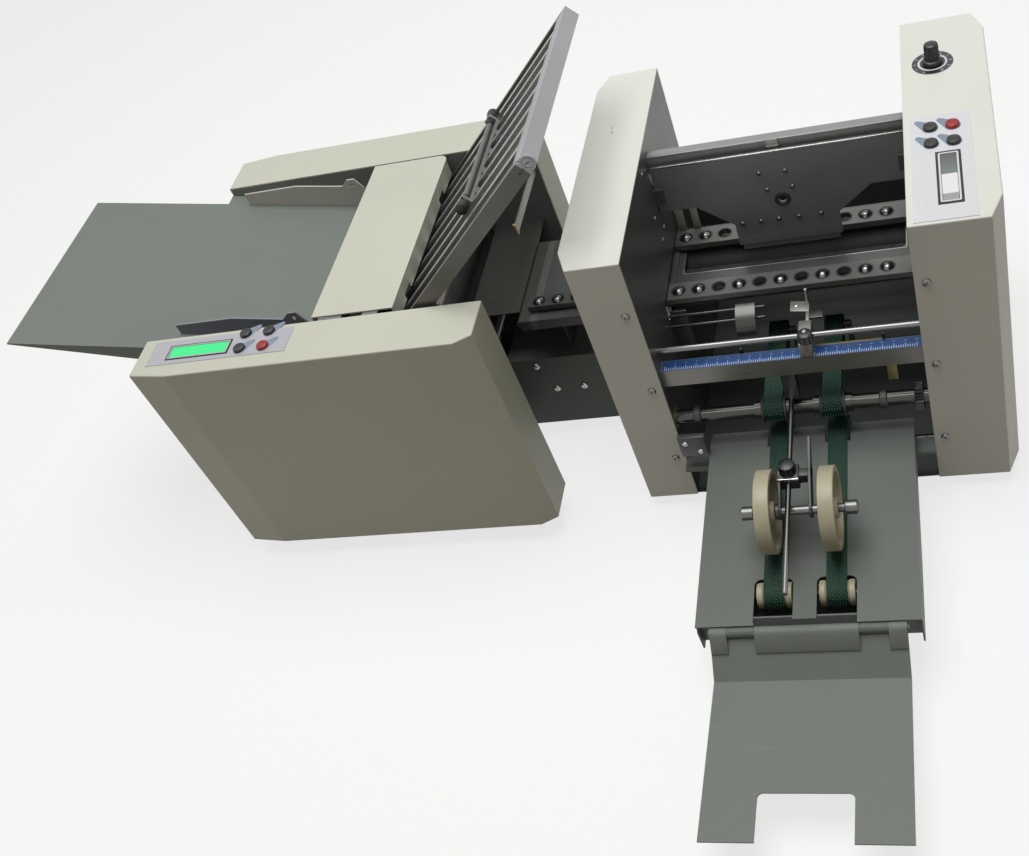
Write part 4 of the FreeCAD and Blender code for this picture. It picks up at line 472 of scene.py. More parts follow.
def make_finishes():
    """All finishes by name, from the colours in the panel."""
    tone = settings()[0]
    return {
        "cream": painted_sheet("cream_casing_paint", tone.cream),
        "light": painted_sheet("light_casing_paint", tone.light, roughness=0.38, wear=0.03),
        "tray": textured_paint("tray_grain_paint", tone.tray),
        "table": textured_paint("table_grain_paint", tone.table),
        "flap": textured_paint("flap_grain_paint", tone.flap),
        "transfer": transfer_paint("transfer_table_paint", tone.transfer),
        "plate": painted_sheet("frame_plate_paint", tone.plate, roughness=0.36, wear=0.1),
        "wall": painted_sheet("throat_wall_paint", tone.wall, roughness=0.36, wear=0.1),
        "pan": painted_sheet("floor_pan_paint", tone.pan, roughness=0.5, wear=0.12),
        "bars": bar_paint("inner_bar_paint", tone.pan),
        "knife": bare_metal("knife_plate_finish", tone.knife, roughness=0.36, streak=0.06, metallic=0.35),
        "near_guide": textured_paint("near_guide_paint", tone.guide),
        "chrome": polished("chrome_plate", tone.chrome, roughness=0.2),
        "screw": polished("screw_zinc", tone.screw, roughness=0.24),
        "steel_x": bare_metal("ground_steel_along", tone.steel, roughness=0.36, metallic=0.7),
        "rails": rail_steel("ball_rail_steel", tone.ball_rail),
        "shaft": bare_metal("dark_shaft_steel", (0.07, 0.07, 0.065), roughness=0.24, streak=0.15,
                            metallic=0.9),
        "collar": bare_metal("collar_steel", (0.16, 0.16, 0.155), roughness=0.32, streak=0.08, metallic=0.8),
        "steel_plate": bare_metal("grille_steel", tone.bar, roughness=0.34, metallic=0.6),
        "aluminium": bare_metal("drawn_aluminium", tone.aluminium, roughness=0.34, streak=0.08,
                                metallic=0.45),
        "guide": bare_metal("guide_aluminium", shade(tuple(tone.aluminium), 2.3), roughness=0.4, streak=0.06,
                            metallic=0.1),
        "fold_plate": fold_plate_paint("fold_plate_finish", tone.rail, tone.end_bar),
        "carrier": bare_metal("carrier_steel", (0.06, 0.06, 0.06), roughness=0.42, streak=0.15, metallic=0.5),
        "rubber": rubber("ground_rubber", tone.rubber),
        "foot": rubber("foot_rubber", shade(tuple(tone.rubber), 0.6), grain=300.0),
        "black": moulded("black_moulding", tone.black, roughness=0.34, dirt=0.3),
        "red": moulded("red_moulding", tone.red, roughness=0.3),
        "ivory": moulded("ivory_moulding", tone.ivory, roughness=0.42),
        "belt": belt_cover("green_belt_cover", tone.belt),
        "film": film_print("panel_film_print", tone.film, tone.film_cross),
        "mark": film_print("blue_mark_print", tone.mark),
        "scale": film_print("scale_strip_print", tone.scale),
        "white": film_print("white_print", paint(232, 236, 240)),
        "ink": film_print("dark_print", paint(34, 36, 42)),
        "lit": lit_pane("lit_display_pane", tone.lit, 4 * MM),
        "smoked": smoked_block("smoked_acrylic"),
        "brass": bare_metal("sintered_bush_metal", tone.brass, roughness=0.45),
        "dull_brass": bare_metal("dull_brass", paint(122, 112, 74), roughness=0.5, streak=0.1, metallic=0.5),
        "board": moulded("board_lacquer", tone.board, roughness=0.3, dirt=0.3),
        "motor": bare_metal("motor_casing_steel", (0.32, 0.32, 0.33), roughness=0.42),
        "well": moulded("socket_plastic", paint(30, 30, 31), roughness=0.5, dirt=0.2),
    }


FINISH_OF_NODE = {
    "cream": ("main_near_cover", "main_far_cover", "feeder_cover"),
    "light": ("cross_left_cover", "cross_right_cover"),
    "plate": ("main_frame_plates",),
    "wall": ("cross_frame_plates",),
    "pan": ("base_pans",),
    "bars": ("cross_bars",),
    "tray": ("feed_tray",),
    "table": ("delivery_table", "bridge_box"),
    "flap": ("delivery_flap",),
    "transfer": ("transfer_table",),
    "near_guide": ("near_side_guide",),
    "guide": ("far_side_guide",),
    "fold_plate": ("upper_plate_frame",),
    "steel_plate": ("upper_plate_grille", "lower_fold_plate", "upper_paper_stop"),
    "steel_x": ("register_table",),
    "rails": ("ball_rails",),
    "aluminium": ("ruler_bar", "main_tie_bars"),
    "carrier": ("stacker_carrier",),
    "chrome": ("guide_rods", "register_balls"),
    "shaft": ("belt_drive_roller", "delivery_drive_shaft"),
    "screw": ("cover_screws",),
    "knife": ("folding_knife",),
    "rubber": ("feed_roller", "fold_roller_1", "fold_roller_2", "fold_roller_3", "fold_roller_4",
               "cross_roller_1", "cross_roller_2"),
    "foot": ("rubber_feet", "drive_belts"),
    "black": ("stop_clamp_shaft", "rod_clamp", "speed_knob", "displays", "main_button_1", "main_button_3",
              "main_button_4", "cross_button_1", "cross_button_2", "cross_button_3"),
    "red": ("main_button_2", "cross_button_4"),
    "ivory": ("belt_tail_roller", "stacker_wheels"),
    "belt": ("delivery_belts",),
    "film": ("control_panels",),
    "brass": ("roller_bearings",),
    "board": ("control_electronics",),
    "motor": ("drive_motors",),
    "well": ("power_inlet",),
}

finishes = {}


def spun(profile, steps=48, closed=False):
    """Turn a profile of (radius, height) points round Z into a solid, or a closed profile into a ring."""
    bm = bmesh.new()
    verts = [bm.verts.new((radius, 0, height)) for radius, height in profile]
    pairs = zip(verts[-1:] + verts[:-1], verts) if closed else zip(verts, verts[1:])
    edges = [bm.edges.new(pair) for pair in pairs]
    bmesh.ops.spin(bm, geom=verts + edges, cent=(0, 0, 0), axis=(0, 0, 1), angle=TURN, steps=steps,
                   use_merge=True)
    bmesh.ops.remove_doubles(bm, verts=bm.verts, dist=1e-6)
    bmesh.ops.recalc_face_normals(bm, faces=bm.faces)
    return bm


def spun_ring(profile, steps=64):
    """A ring turned round Z from a closed profile."""
    return spun(profile, steps, closed=True)


def flat_ring(inner, outer, thick, steps):
    """A printed or pressed ring round Z, on z 0."""
    return spun_ring([(inner, 0), (outer, 0), (outer, thick), (inner, thick)], steps)


def plain_pin(radius, length):
    """A plain turned pin round Z, on z 0."""
    return spun([(0, 0), (radius, 0), (radius, length), (0, length)], 24)


def closed_loop(bm, verts):
    """New edges round a closed ring of vertices."""
    return [bm.edges.new((verts[place - 1], verts[place])) for place in range(len(verts))]


def picked(kind, made):
    """The vertices or edges among what an operator made."""
    return [item for item in made["geom"] if isinstance(item, kind)]


def round_edges(bm, offset, segments=2, least=0.5):
    """Round every edge that turns by more than the least angle."""
    sharp = [edge for edge in bm.edges if edge.is_manifold and edge.calc_face_angle(0) > least]
    if sharp and offset > 0:
        bmesh.ops.bevel(bm, geom=sharp, offset=offset, segments=segments, profile=0.5, affect="EDGES",
                        material=-1, clamp_overlap=True)
    return bm


def block(low, high, rounding=0.5 * MM):
    """A box with rounded edges between two corners."""
    bm = bmesh.new()
    bmesh.ops.create_cube(bm, size=1)
    low, high = Vector(low), Vector(high)
    bmesh.ops.scale(bm, vec=high - low, verts=bm.verts)
    bmesh.ops.translate(bm, vec=(low + high) / 2, verts=bm.verts)
    return round_edges(bm, rounding)


def slab(outline, thick, rounding=0.0):
    """A flat plate on XY, from z 0 up to its thickness."""
    bm = bmesh.new()
    face = bm.faces.new([bm.verts.new((x, y, 0)) for x, y in outline])
    grown = bmesh.ops.extrude_face_region(bm, geom=[face])
    bmesh.ops.translate(bm, vec=(0, 0, thick), verts=picked(bmesh.types.BMVert, grown))
    bmesh.ops.recalc_face_normals(bm, faces=bm.faces)
    return round_edges(bm, rounding) if rounding else bm


def arc(centre, radius, start, end, steps=10):
    """Points round an arc, angles in degrees."""
    spread = [math.radians(start + (end - start) * place / steps) for place in range(steps + 1)]
    return [(centre[0] + radius * math.cos(a), centre[1] + radius * math.sin(a)) for a in spread]


def rounded_outline(width, depth, radius):
    """A rectangle round the origin with rounded corners."""
    x, y = width / 2 - radius, depth / 2 - radius
    return (arc((x, y), radius, 0, 90, 5) + arc((-x, y), radius, 90, 180, 5)
            + arc((-x, -y), radius, 180, 270, 5) + arc((x, -y), radius, 270, 360, 5))


def moved(bm, matrix):
    """The same mesh in another place."""
    bmesh.ops.transform(bm, matrix=matrix, verts=bm.verts)
    return bm


def at(x, y, z):
    return Matrix.Translation((x, y, z))


def turned_to(direction):
    """Turn +Z to a direction."""
    return Vector(direction).to_track_quat("Z", "Y").to_matrix().to_4x4()


def along_x(x, centre):
    """Turn +Z to +X and place it on an axis through a centre."""
    return at(x, centre.y, centre.z) @ turned_to((1, 0, 0))


def together(parts):
    """One mesh of several."""
    whole = bmesh.new()
    for part in parts:
        mesh = bpy.data.meshes.new("part")
        part.to_mesh(mesh)
        part.free()
        whole.from_mesh(mesh)
        bpy.data.meshes.remove(mesh)
    return whole


def piece(bm, name, body, finish, stands_for=(), smooth=35):
    """Turn a finished mesh into a piece that rides on a body."""
    mesh = bpy.data.meshes.new(name)
    bm.to_mesh(mesh)
    bm.free()
    mesh.shade_smooth()
    mesh.set_sharp_from_angle(angle=math.radians(smooth))
    mesh.materials.append(finishes[finish])
    made = bpy.data.objects.new(name, mesh)
    bpy.context.scene.collection.objects.link(made)
    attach(made, body)
    if stands_for:
        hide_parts(*stands_for)
    return made


def desk(x, y, z):
    """A point in millimetres: x and y from the near casing's left corner, z from the floor."""
    return Vector((NEAR_CASE[0].x + x * MM, NEAR_CASE[0].y + y * MM, z * MM))


def bar(low, high, rounding=0.5):
    """A rounded box between two points of that kind."""
    return block(desk(*low), desk(*high), rounding * MM)


def rod(start, end, radius):
    """A turned rod between two such points, with its edges broken."""
    start, end = desk(*start), desk(*end)
    length, edge = (end - start).length, 0.3 * MM
    profile = [(0, 0), (radius * MM - edge, 0), (radius * MM, edge), (radius * MM, length - edge),
               (radius * MM - edge, length), (0, length)]
    return moved(spun(profile, 24), Matrix.Translation(start) @ turned_to(end - start))


def side_plate(outline, x, thick, rounding=0.0):
    """A plate across the machine: an outline of (y, z) in millimetres, thick along X from x."""
    here = [desk(0, y, z) for y, z in outline]
    side_on = Matrix(((0, 0, 1, desk(x, 0, 0).x), (1, 0, 0, 0), (0, 1, 0, 0), (0, 0, 0, 1)))
    return moved(slab([(point.y, point.z) for point in here], thick * MM, rounding * MM), side_on)


def arm_outline(first, second, radius):
    """Two eyes of one radius and the straight sides between them, as (y, z) points."""
    lean = math.degrees(math.atan2(second[1] - first[1], second[0] - first[0]))
    return arc(second, radius, lean - 90, lean + 90, 14) + arc(first, radius, lean + 90, lean + 270, 14)


def middle(node):
    """The centre of a node's box."""
    low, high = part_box(node)
    return (low + high) / 2


def digits(text, height, place, turn, thick):
    """Plain printed digits as a thin mesh on a level face."""
    curve = bpy.data.curves.new("digits", "FONT")
    curve.body = text
    curve.size = height
    curve.align_x, curve.align_y = "CENTER", "CENTER"
    curve.extrude = thick / 2
    curve.resolution_u = 2
    holder = bpy.data.objects.new("digits", curve)
    mesh = bpy.data.meshes.new_from_object(holder)
    bm = bmesh.new()
    bm.from_mesh(mesh)
    bmesh.ops.remove_doubles(bm, verts=bm.verts, dist=1e-6)
    bpy.data.objects.remove(holder)
    bpy.data.curves.remove(curve)
    bpy.data.meshes.remove(mesh)
    return moved(bm, Matrix.Translation(place) @ Matrix.Rotation(turn, 4, "Z"))


def screw_head(radius, spin=0.3):
    """A pan head with a cross recess, on z 0."""
    bm = bmesh.new()
    height = 0.55 * radius
    crown = 0.66 * radius
    rim = [bm.verts.new((*point, height)) for point in arc((0, 0), crown, 0, 360, 20)[:-1]]
    arm, half = 0.46 * radius, 0.11 * radius
    corners = [(half, half), (half, arm), (-half, arm), (-half, half), (-arm, half), (-arm, -half),
               (-half, -half), (-half, -arm), (half, -arm), (half, -half), (arm, -half), (arm, half)]
    cross = [bm.verts.new((x, y, height)) for x, y in corners]
    loops = [closed_loop(bm, rim), closed_loop(bm, cross)]
    bmesh.ops.triangle_fill(bm, edges=loops[0] + loops[1], use_beauty=True)
    inside = [face for face in bm.faces if all(vert in cross for vert in face.verts)
              and face.calc_center_median().xy.length < half * 1.2]
    bmesh.ops.delete(bm, geom=inside, context="FACES_ONLY")
    edge = loops[0]
    for share, level in ((0.92, 0.72), (1.0, 0.4), (1.0, 0.0)):
        grown = bmesh.ops.extrude_edge_only(bm, edges=edge)
        edge = picked(bmesh.types.BMEdge, grown)
        for vert in picked(bmesh.types.BMVert, grown):
            flat = vert.co.xy.normalized() * radius * share
            vert.co = (flat.x, flat.y, height * level)
    grown = bmesh.ops.extrude_edge_only(bm, edges=loops[1])
    bmesh.ops.translate(bm, vec=(0, 0, -0.45 * height), verts=picked(bmesh.types.BMVert, grown))
    bmesh.ops.triangle_fill(bm, edges=picked(bmesh.types.BMEdge, grown), use_beauty=True)
    bmesh.ops.recalc_face_normals(bm, faces=bm.faces)
    return moved(bm, Matrix.Rotation(spin, 4, "Z"))


def screws(places, direction, radius, name, body="chassis", finish="screw",
           stands_for=()):
    """Screw heads in one piece, each turned a little differently."""
    heads = []
    for count, place in enumerate(places):
        heads.append(moved(screw_head(radius, spin=0.4 + 1.1 * count),
                           Matrix.Translation(place) @ turned_to(direction)))
    return piece(together(heads), name, body, finish, stands_for)


def fluted(radius, height, flutes, depth, taper=0.97, dome=0.12):
    """A knob with flutes round it and a slightly domed top, on z 0."""
    bm = bmesh.new()
    rings = [(1.0, 0.0), (1.0, 0.12), (taper, 0.9), (taper - 0.05, 0.97), (taper - 0.14, 1.0)]
    count = flutes * 4
    loops = []
    for share, level in rings:
        loop = []
        for place in range(count):
            angle = TURN * place / count
            dip = depth * (0.5 - 0.5 * math.cos(angle * flutes)) * (1 if 0 < level < 0.97 else 0.3)
            reach = radius * share - dip
            loop.append(bm.verts.new((reach * math.cos(angle), reach * math.sin(angle), height * level)))
        loops.append(closed_loop(bm, loop))
    for low, high in zip(loops, loops[1:]):
        bmesh.ops.bridge_loops(bm, edges=low + high)
    for loop, level in ((loops[0], 0), (loops[-1], height + dome * radius)):
        grown = bmesh.ops.extrude_edge_only(bm, edges=loop)
        ring = picked(bmesh.types.BMVert, grown)
        bmesh.ops.scale(bm, vec=(0.4, 0.4, 1), verts=ring)
        for vert in ring:
            vert.co.z = level
        bmesh.ops.edgeloop_fill(bm, edges=picked(bmesh.types.BMEdge, grown))
    bmesh.ops.recalc_face_normals(bm, faces=bm.faces)
    return bm


def button_cap(radius, height, dish):
    """A push button: a cap with a rounded shoulder and a dished top, on z 0."""
    skirt = radius * 1.18
    profile = [(0, 0), (skirt, 0), (skirt, 1.6 * MM), (radius, 1.9 * MM), (radius, height - 1.3 * MM),
               (radius * 0.97, height - 0.6 * MM), (radius * 0.88, height - 0.1 * MM),
               (radius * 0.78, height), (radius * 0.66, height - 0.15 * MM),
               (radius * 0.45, height - dish * 0.75), (radius * 0.2, height - dish), (0, height - dish)]
    return spun(profile, 40)


def drop_outline(radius, reach, end, turn):
    """A drop: wide round a button, narrow at its far end, turned to a direction in degrees."""
    lean = math.degrees(math.acos((radius - end) / reach))
    points = arc((0, 0), radius, lean, 360 - lean, 24) + arc((reach, 0), end, -lean, lean, 10)
    a = math.radians(turn)
    return [(x * math.cos(a) - y * math.sin(a), x * math.sin(a) + y * math.cos(a)) for x, y in points]


class FOLDER_OT_finishes(bpy.types.Operator):
    """Give every node of the frame its finish"""
    bl_idname = "folder.finishes"
    bl_label = "Finish the frame"

    def execute(self, context):
        finishes.update(make_finishes())
        for finish, nodes in FINISH_OF_NODE.items():
            for node in nodes:
                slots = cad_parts[node].data.materials
                slots.clear()
                slots.append(finishes[finish])
        return {"FINISHED"}


class FOLDER_OT_buttons(bpy.types.Operator):
    """Make the push buttons and the marks printed beside them"""
    bl_idname = "folder.buttons"
    bl_label = "Buttons"

    def execute(self, context):
        sizes = settings()[1]
        red = {"main": 2, "cross": 4}
        for unit, mark_turn in (("main", 38), ("cross", 136)):
            marks = []
            for number in (1, 2, 3, 4):
                node = f"{unit}_button_{number}"
                low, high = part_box(node)
                cap = button_cap(sizes.button_radius, high.z - low.z + 0.8 * MM, sizes.button_dish)
                centre = middle(node)
                is_red = number == red[unit]
                piece(moved(cap, at(centre.x, centre.y, low.z)), f"{unit}_button_cap_{number}", node,
                      "red" if is_red else "black", (node,))
                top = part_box("control_panels")[1].z if unit == "cross" else NEAR_CASE[1].z + 0.6 * MM
                outline = drop_outline(sizes.button_radius * 1.12, sizes.mark_reach, sizes.mark_end,
                                       mark_turn)
                marks.append(moved(slab(outline, sizes.print_thick), at(centre.x, centre.y, top)))
            piece(together(marks), f"{unit}_button_marks", "chassis", "mark")
        return {"FINISHED"}


class FOLDER_OT_speed_dial(bpy.types.Operator):
    """Make the speed knob and the dial's numbered ring"""
    bl_idname = "folder.speed_dial"
    bl_label = "Speed dial"

    def execute(self, context):
        sizes = settings()[1]
        low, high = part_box("speed_knob")
        centre = middle("speed_knob")
        film_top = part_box("control_panels")[1].z
        knob_low = film_top + 0.5 * MM
        skirt = spun([(0, 0), (9 * MM, 0), (9 * MM, 1.6 * MM), (8.4 * MM, 3.2 * MM), (7.2 * MM, 4 * MM),
                      (0, 4 * MM)])
        grip = fluted(6.6 * MM, high.z - knob_low - 3.6 * MM, sizes.knob_flutes, 0.7 * MM)
        pointer = block((5.2 * MM, -0.5 * MM, 3.9 * MM), (8.6 * MM, 0.5 * MM, 4.4 * MM), 0.15 * MM)
        shaft = plain_pin(3 * MM, knob_low - low.z)
        parts = [moved(skirt, at(centre.x, centre.y, knob_low)),
                 moved(grip, at(centre.x, centre.y, knob_low + 3.6 * MM)),
                 moved(shaft, at(centre.x, centre.y, low.z))]
        piece(together(parts), "speed_knob_grip", "speed_knob", "black", ("speed_knob",))
        piece(moved(pointer, at(centre.x, centre.y, knob_low)), "speed_knob_pointer", "speed_knob", "white")
        ink = sizes.print_thick
        rings = [flat_ring(inner * MM, outer * MM, ink, 72) for inner, outer in ((3.6, 11.2), (13.0, 18.3))]
        piece(moved(together(rings), at(centre.x, centre.y, film_top)), "dial_print", "chassis", "ink")
        prints = []
        level = film_top + ink
        for number in range(11):
            angle = math.radians(240 - 30 * number)
            outward = Vector((math.cos(angle), math.sin(angle), 0))
            prints.append(digits(str(number), 3.2 * MM,
                                 Vector((centre.x, centre.y, level)) + outward * 15.9 * MM,
                                 angle - QUARTER, ink))
            for part in (-1, 0, 1):
                lean = angle + math.radians(10 * part)
                tick = block((13.1 * MM, -0.16 * MM, 0), (13.9 * MM, 0.16 * MM, ink), 0)
                prints.append(moved(tick, at(centre.x, centre.y, level) @ Matrix.Rotation(lean, 4, "Z")))
        piece(together(prints), "dial_numbers", "chassis", "white")
        return {"FINISHED"}


def frame_ring(width, depth, border, thick):
    """A flat rectangular ring round the origin with rounded corners."""
    bm = bmesh.new()
    opening = rounded_outline(width - 2 * border, depth - 2 * border, border / 2)
    outer = [bm.verts.new((x, y, 0)) for x, y in rounded_outline(width, depth, border)]
    inner = [bm.verts.new((x, y, 0)) for x, y in opening]
    bmesh.ops.bridge_loops(bm, edges=closed_loop(bm, outer) + closed_loop(bm, inner))
    grown = bmesh.ops.extrude_face_region(bm, geom=bm.faces[:])
    bmesh.ops.translate(bm, vec=(0, 0, thick), verts=picked(bmesh.types.BMVert, grown))
    bmesh.ops.recalc_face_normals(bm, faces=bm.faces)
    return round_edges(bm, thick / 4, segments=1)


class FOLDER_OT_displays(bpy.types.Operator):
    """Make the display panes and their frames"""
    bl_idname = "folder.displays"
    bl_label = "Displays"

    def execute(self, context):
        film_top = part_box("control_panels")[1].z
        main = Vector((NEAR_CASE[0].x + 70 * MM, NEAR_CASE[0].y + 32 * MM, NEAR_CASE[1].z + 0.6 * MM))
        cross = Vector((RIGHT_CASE[0].x + 35.5 * MM, RIGHT_CASE[0].y + 57 * MM, film_top))
        # The second display's pane carries a painted reflection band.
        finishes["reflection_bands"] = banded_pane("reflection_banded_display_pane", cross.y - 30.5 * MM, cross.y + 30.5 * MM)
        for name, centre, width, depth, finish in (("main", main, 63 * MM, 13.5 * MM, "lit"),
                                                   ("cross", cross, 12.5 * MM, 61.5 * MM, "reflection_bands")):
            pane = slab(rounded_outline(width, depth, 0.8 * MM), 0.25 * MM)
            piece(moved(pane, Matrix.Translation(centre)), f"{name}_display_pane", "chassis", finish)
            border = frame_ring(width + 4 * MM, depth + 4 * MM, 1.6 * MM, 0.6 * MM)
            piece(moved(border, Matrix.Translation(centre)), f"{name}_display_frame", "chassis", "film")
        return {"FINISHED"}


class FOLDER_OT_screws(bpy.types.Operator):
    """Make the casing screws and the small screws of plates and knife"""
    bl_idname = "folder.screws"
    bl_label = "Screws"

    def execute(self, context):
        sizes = settings()[1]
        bridge_low, bridge_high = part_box("bridge_box")
        levels = [LEFT_CASE[0].z + share * 310 * MM for share in (0.187, 0.497, 0.806)]
        sides = (LEFT_CASE[1].x - 10 * MM, RIGHT_CASE[0].x + 10 * MM)
        for side, y, direction in (("near", LEFT_CASE[0].y, (0, -1, 0)), ("far", LEFT_CASE[1].y, (0, 1, 0))):
            places = [Vector((x, y, z)) for x in sides for z in levels]
            screws(places, direction, sizes.screw_radius, f"casing_screws_{side}", finish="chrome",
                   stands_for=("cover_screws",) if side == "near" else ())
        places = [Vector((NEAR_CASE[0].x + (318 + x) * MM, bridge_low.y, bridge_high.z - drop * MM))
                  for x, drop in ((21, 10), (34, 45), (65, 45))]
        screws(places, (0, -1, 0), sizes.screw_radius, "bridge_screws")
        knife_low, knife_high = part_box("folding_knife")
        centre = (knife_low.x + knife_high.x) / 2
        table_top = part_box("register_table")[1].z
        upper = [(centre + x * MM, z * MM) for x, z in ((-17, 278), (7.5, 277), (-12.5, 258), (11.5, 258))]
        lower = [(centre + x * MM, 222 * MM) for x in (-43, -25, -7.5, 12, 33)]
        places = [Vector((x, knife_low.y, max(z, table_top))) for x, z in upper + lower]
        screws(places, (0, -1, 0), sizes.small_screw, "knife_screws", body="folding_knife", finish="chrome")
        pip_x, pip_z = LEFT_CASE[0].x + 27 * MM, LEFT_CASE[1].z
        pips = [Vector((pip_x, LEFT_CASE[0].y + y * MM, pip_z)) for y in (200, 207)]
        screws(pips, (0, 0, 1), 1.6 * MM, "left_casing_pips")
        flange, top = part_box("transfer_table")
        places = [Vector((LEFT_CASE[0].x - x * MM, flange.y + 1.4 * MM, top.z - 7 * MM)) for x in (62, 34)]
        screws(places, (0, -1, 0), 2.2 * MM, "transfer_screws")
        return {"FINISHED"}


class FOLDER_OT_register(bpy.types.Operator):
    """Make the register balls, dark rings of painted shade round their holes, the window's rim and the
    knife's top edge and grommet
    """
    bl_idname = "folder.register"
    bl_label = "Register"

    def execute(self, context):
        sizes = settings()[1]
        table_low, table_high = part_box("register_table")
        opening = table_high.x - table_low.x
        pitch = (opening - 39 * MM) / (len(BALL_PATTERN) - 1)
        balls = []
        for y in (LEFT_CASE[0].y + 108 * MM, LEFT_CASE[0].y + 189 * MM):
            for place, mark in enumerate(BALL_PATTERN):
                if mark == "x":
                    balls.append(Vector((table_low.x + 11 * MM + place * pitch, y,
                                         table_high.z + sizes.ball_radius)))
        for offset in (24.5, 44.5, 64.5):
            balls.append(Vector((NEAR_CASE[1].x + (offset - 15.5) * MM, LEFT_CASE[0].y + 116 * MM,
                                 table_high.z + 2 * MM + sizes.ball_radius)))
        parts = []
        for seat in balls:
            ball = bmesh.new()
            bmesh.ops.create_uvsphere(ball, u_segments=32, v_segments=20, radius=sizes.ball_radius)
            parts.append(moved(ball, Matrix.Translation(seat)))
        piece(together(parts), "register_ball_set", "chassis", "chrome",
              ("register_balls",), smooth=80)
        low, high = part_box("folding_knife")
        strip = block((low.x, low.y - 0.3 * MM, high.z - 1.6 * MM),
                      (high.x, low.y + 3.2 * MM, high.z + 0.2 * MM), 0.4 * MM)
        piece(strip, "knife_top_edge", "folding_knife", "screw")
        grommet = spun_ring([(3.9 * MM, 0), (8 * MM, 0), (7.6 * MM, 1.1 * MM), (6.4 * MM, 1.7 * MM),
                             (4.6 * MM, 1.2 * MM)], 40)
        hole = Vector(((low.x + high.x) / 2, low.y, 244.9 * MM))
        grommet = moved(grommet, Matrix.Translation(hole) @ turned_to((0, -1, 0)))
        piece(grommet, "knife_grommet", "folding_knife", "foot")
        # Painted shade: dark flat rings round every ball hole, empty or not, stand for the holes' chamfers in
        # shadow.
        hole_shade_rings = []
        holes = [(517 + 20 * place, y, 195) for place in range(len(BALL_PATTERN)) for y in (143, 224)]
        for x, y, z in holes + [(371 + 20 * place, 151, 197) for place in range(SIDE_BALLS)]:
            hole_shade_rings.append(moved(flat_ring(6.3 * MM, 7.7 * MM, 0.12 * MM, 40),
                               Matrix.Translation(desk(x, y, z))))
        piece(together(hole_shade_rings), "ball_hole_shade_rings", "chassis", "carrier")
        rim = frame_ring(219 * MM, 42 * MM, 1 * MM, 0.3 * MM)
        piece(moved(rim, Matrix.Translation(desk(625.5, 198, 186))), "window_rim", "chassis", "screw")
        return {"FINISHED"}


class FOLDER_OT_scale(bpy.types.Operator):
    """Make the ruler's blue strip with its ticks and digits"""
    bl_idname = "folder.scale"
    bl_label = "Scale"

    def execute(self, context):
        sizes = settings()[1]
        low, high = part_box("ruler_bar")
        strip = slab([(low.x + 1 * MM, low.y + 0.4 * MM), (high.x - 1 * MM, low.y + 0.4 * MM),
                      (high.x - 1 * MM, high.y - 0.6 * MM), (low.x + 1 * MM, high.y - 0.6 * MM)], 0.3 * MM)
        piece(moved(strip, at(0, 0, high.z)), "ruler_scale_strip", "chassis", "scale")
        level = high.z + 0.3 * MM
        span = high.x - low.x - 8 * MM
        prints = []
        half = sizes.tick_width / 2
        for count in range(int(span / (2 * MM)) + 1):
            x = low.x + 4 * MM + count * 2 * MM
            reach = 5.6 * MM if count % 5 == 0 else 3.0 * MM
            prints.append(block((x - half, low.y + 0.6 * MM, level),
                                (x + half, low.y + 0.6 * MM + reach, level + 0.08 * MM), 0))
            if count % 5 == 0 and count:
                spot = Vector((x, low.y + 9.2 * MM, level + 0.04 * MM))
                prints.append(digits(str(count // 5), sizes.digit_height, spot, 0, 0.08 * MM))
        piece(together(prints), "ruler_scale_print", "chassis", "white")
        return {"FINISHED"}


class FOLDER_OT_rod_clamp(bpy.types.Operator):
    """Make the clamp on the guide rod: block, knob, bracket, pin and smoked block"""
    bl_idname = "folder.rod_clamp"
    bl_label = "Rod clamp"

    def execute(self, context):
        knob = moved(fluted(7 * MM, 9.4 * MM, 14, 0.7 * MM), Matrix.Translation(desk(644.5, 50.5, 199)))
        piece(knob, "clamp_knob", "rod_clamp", "black", ("rod_clamp",))
        body = [bar((638, 54, 191.5), (650, 71, 205), 1.2), bar((644.5, 70, 202.8), (647.5, 86, 204.8), 0.4)]
        plate = slab([(0, 0), (17.4 * MM, -2.9 * MM), (17.4 * MM, 10.6 * MM), (0, 13.4 * MM)], 2 * MM,
                     0.3 * MM)
        body.append(moved(plate, Matrix.Translation(desk(630, 85, 203))))
        piece(together(body), "clamp_block", "rod_clamp", "aluminium")
        arm = bar((647, 74, 202.6), (660, 86, 204.2), 0.4)
        piece(arm, "clamp_arm", "rod_clamp", "shaft")
        metal = [rod((646, 94.5, 204), (646, 94.5, 221), 1.5),
                 rod((644.5, 50.5, 208), (644.5, 50.5, 210.6), 1.9)]
        piece(together(metal), "clamp_pins", "rod_clamp", "screw")
        screws([desk(635.5, 90.9, 205)], (0, 0, 1), 2.4 * MM, "clamp_screw", body="rod_clamp")
        piece(bar((637.5, 45, 182.8), (649.5, 53.5, 199), 1.4), "clamp_pointer_block", "rod_clamp", "smoked")
        return {"FINISHED"}


def wheel_mesh(radius, half):
    """A stacker wheel round Z: a wide rim, a recessed web and a hub with its bore."""
    rim, web, hub, bore = radius - 5 * MM, 1.5 * MM, 9 * MM, 4 * MM
    fillet, step = 1.6 * MM, 0.8 * MM
    side = [(bore, -half), (hub, -half), (hub + step, -web - 1 * MM), (hub + 2 * MM, -web),
            (rim - fillet, -web), (rim, -web - fillet), (rim, -half), (radius, -half)]
    ring = spun_ring(side + [(reach, -height) for reach, height in reversed(side)], 96)
    return round_edges(ring, 0.7 * MM, 3)


def collar_mesh(radius, length):
    """A metal collar round Z with chamfered ends, on z 0."""
    edge = 0.8 * MM
    return spun_ring([(4.05 * MM, 0), (radius - edge, 0), (radius, edge), (radius, length - edge),
                      (radius - edge, length), (4.05 * MM, length)], 40)


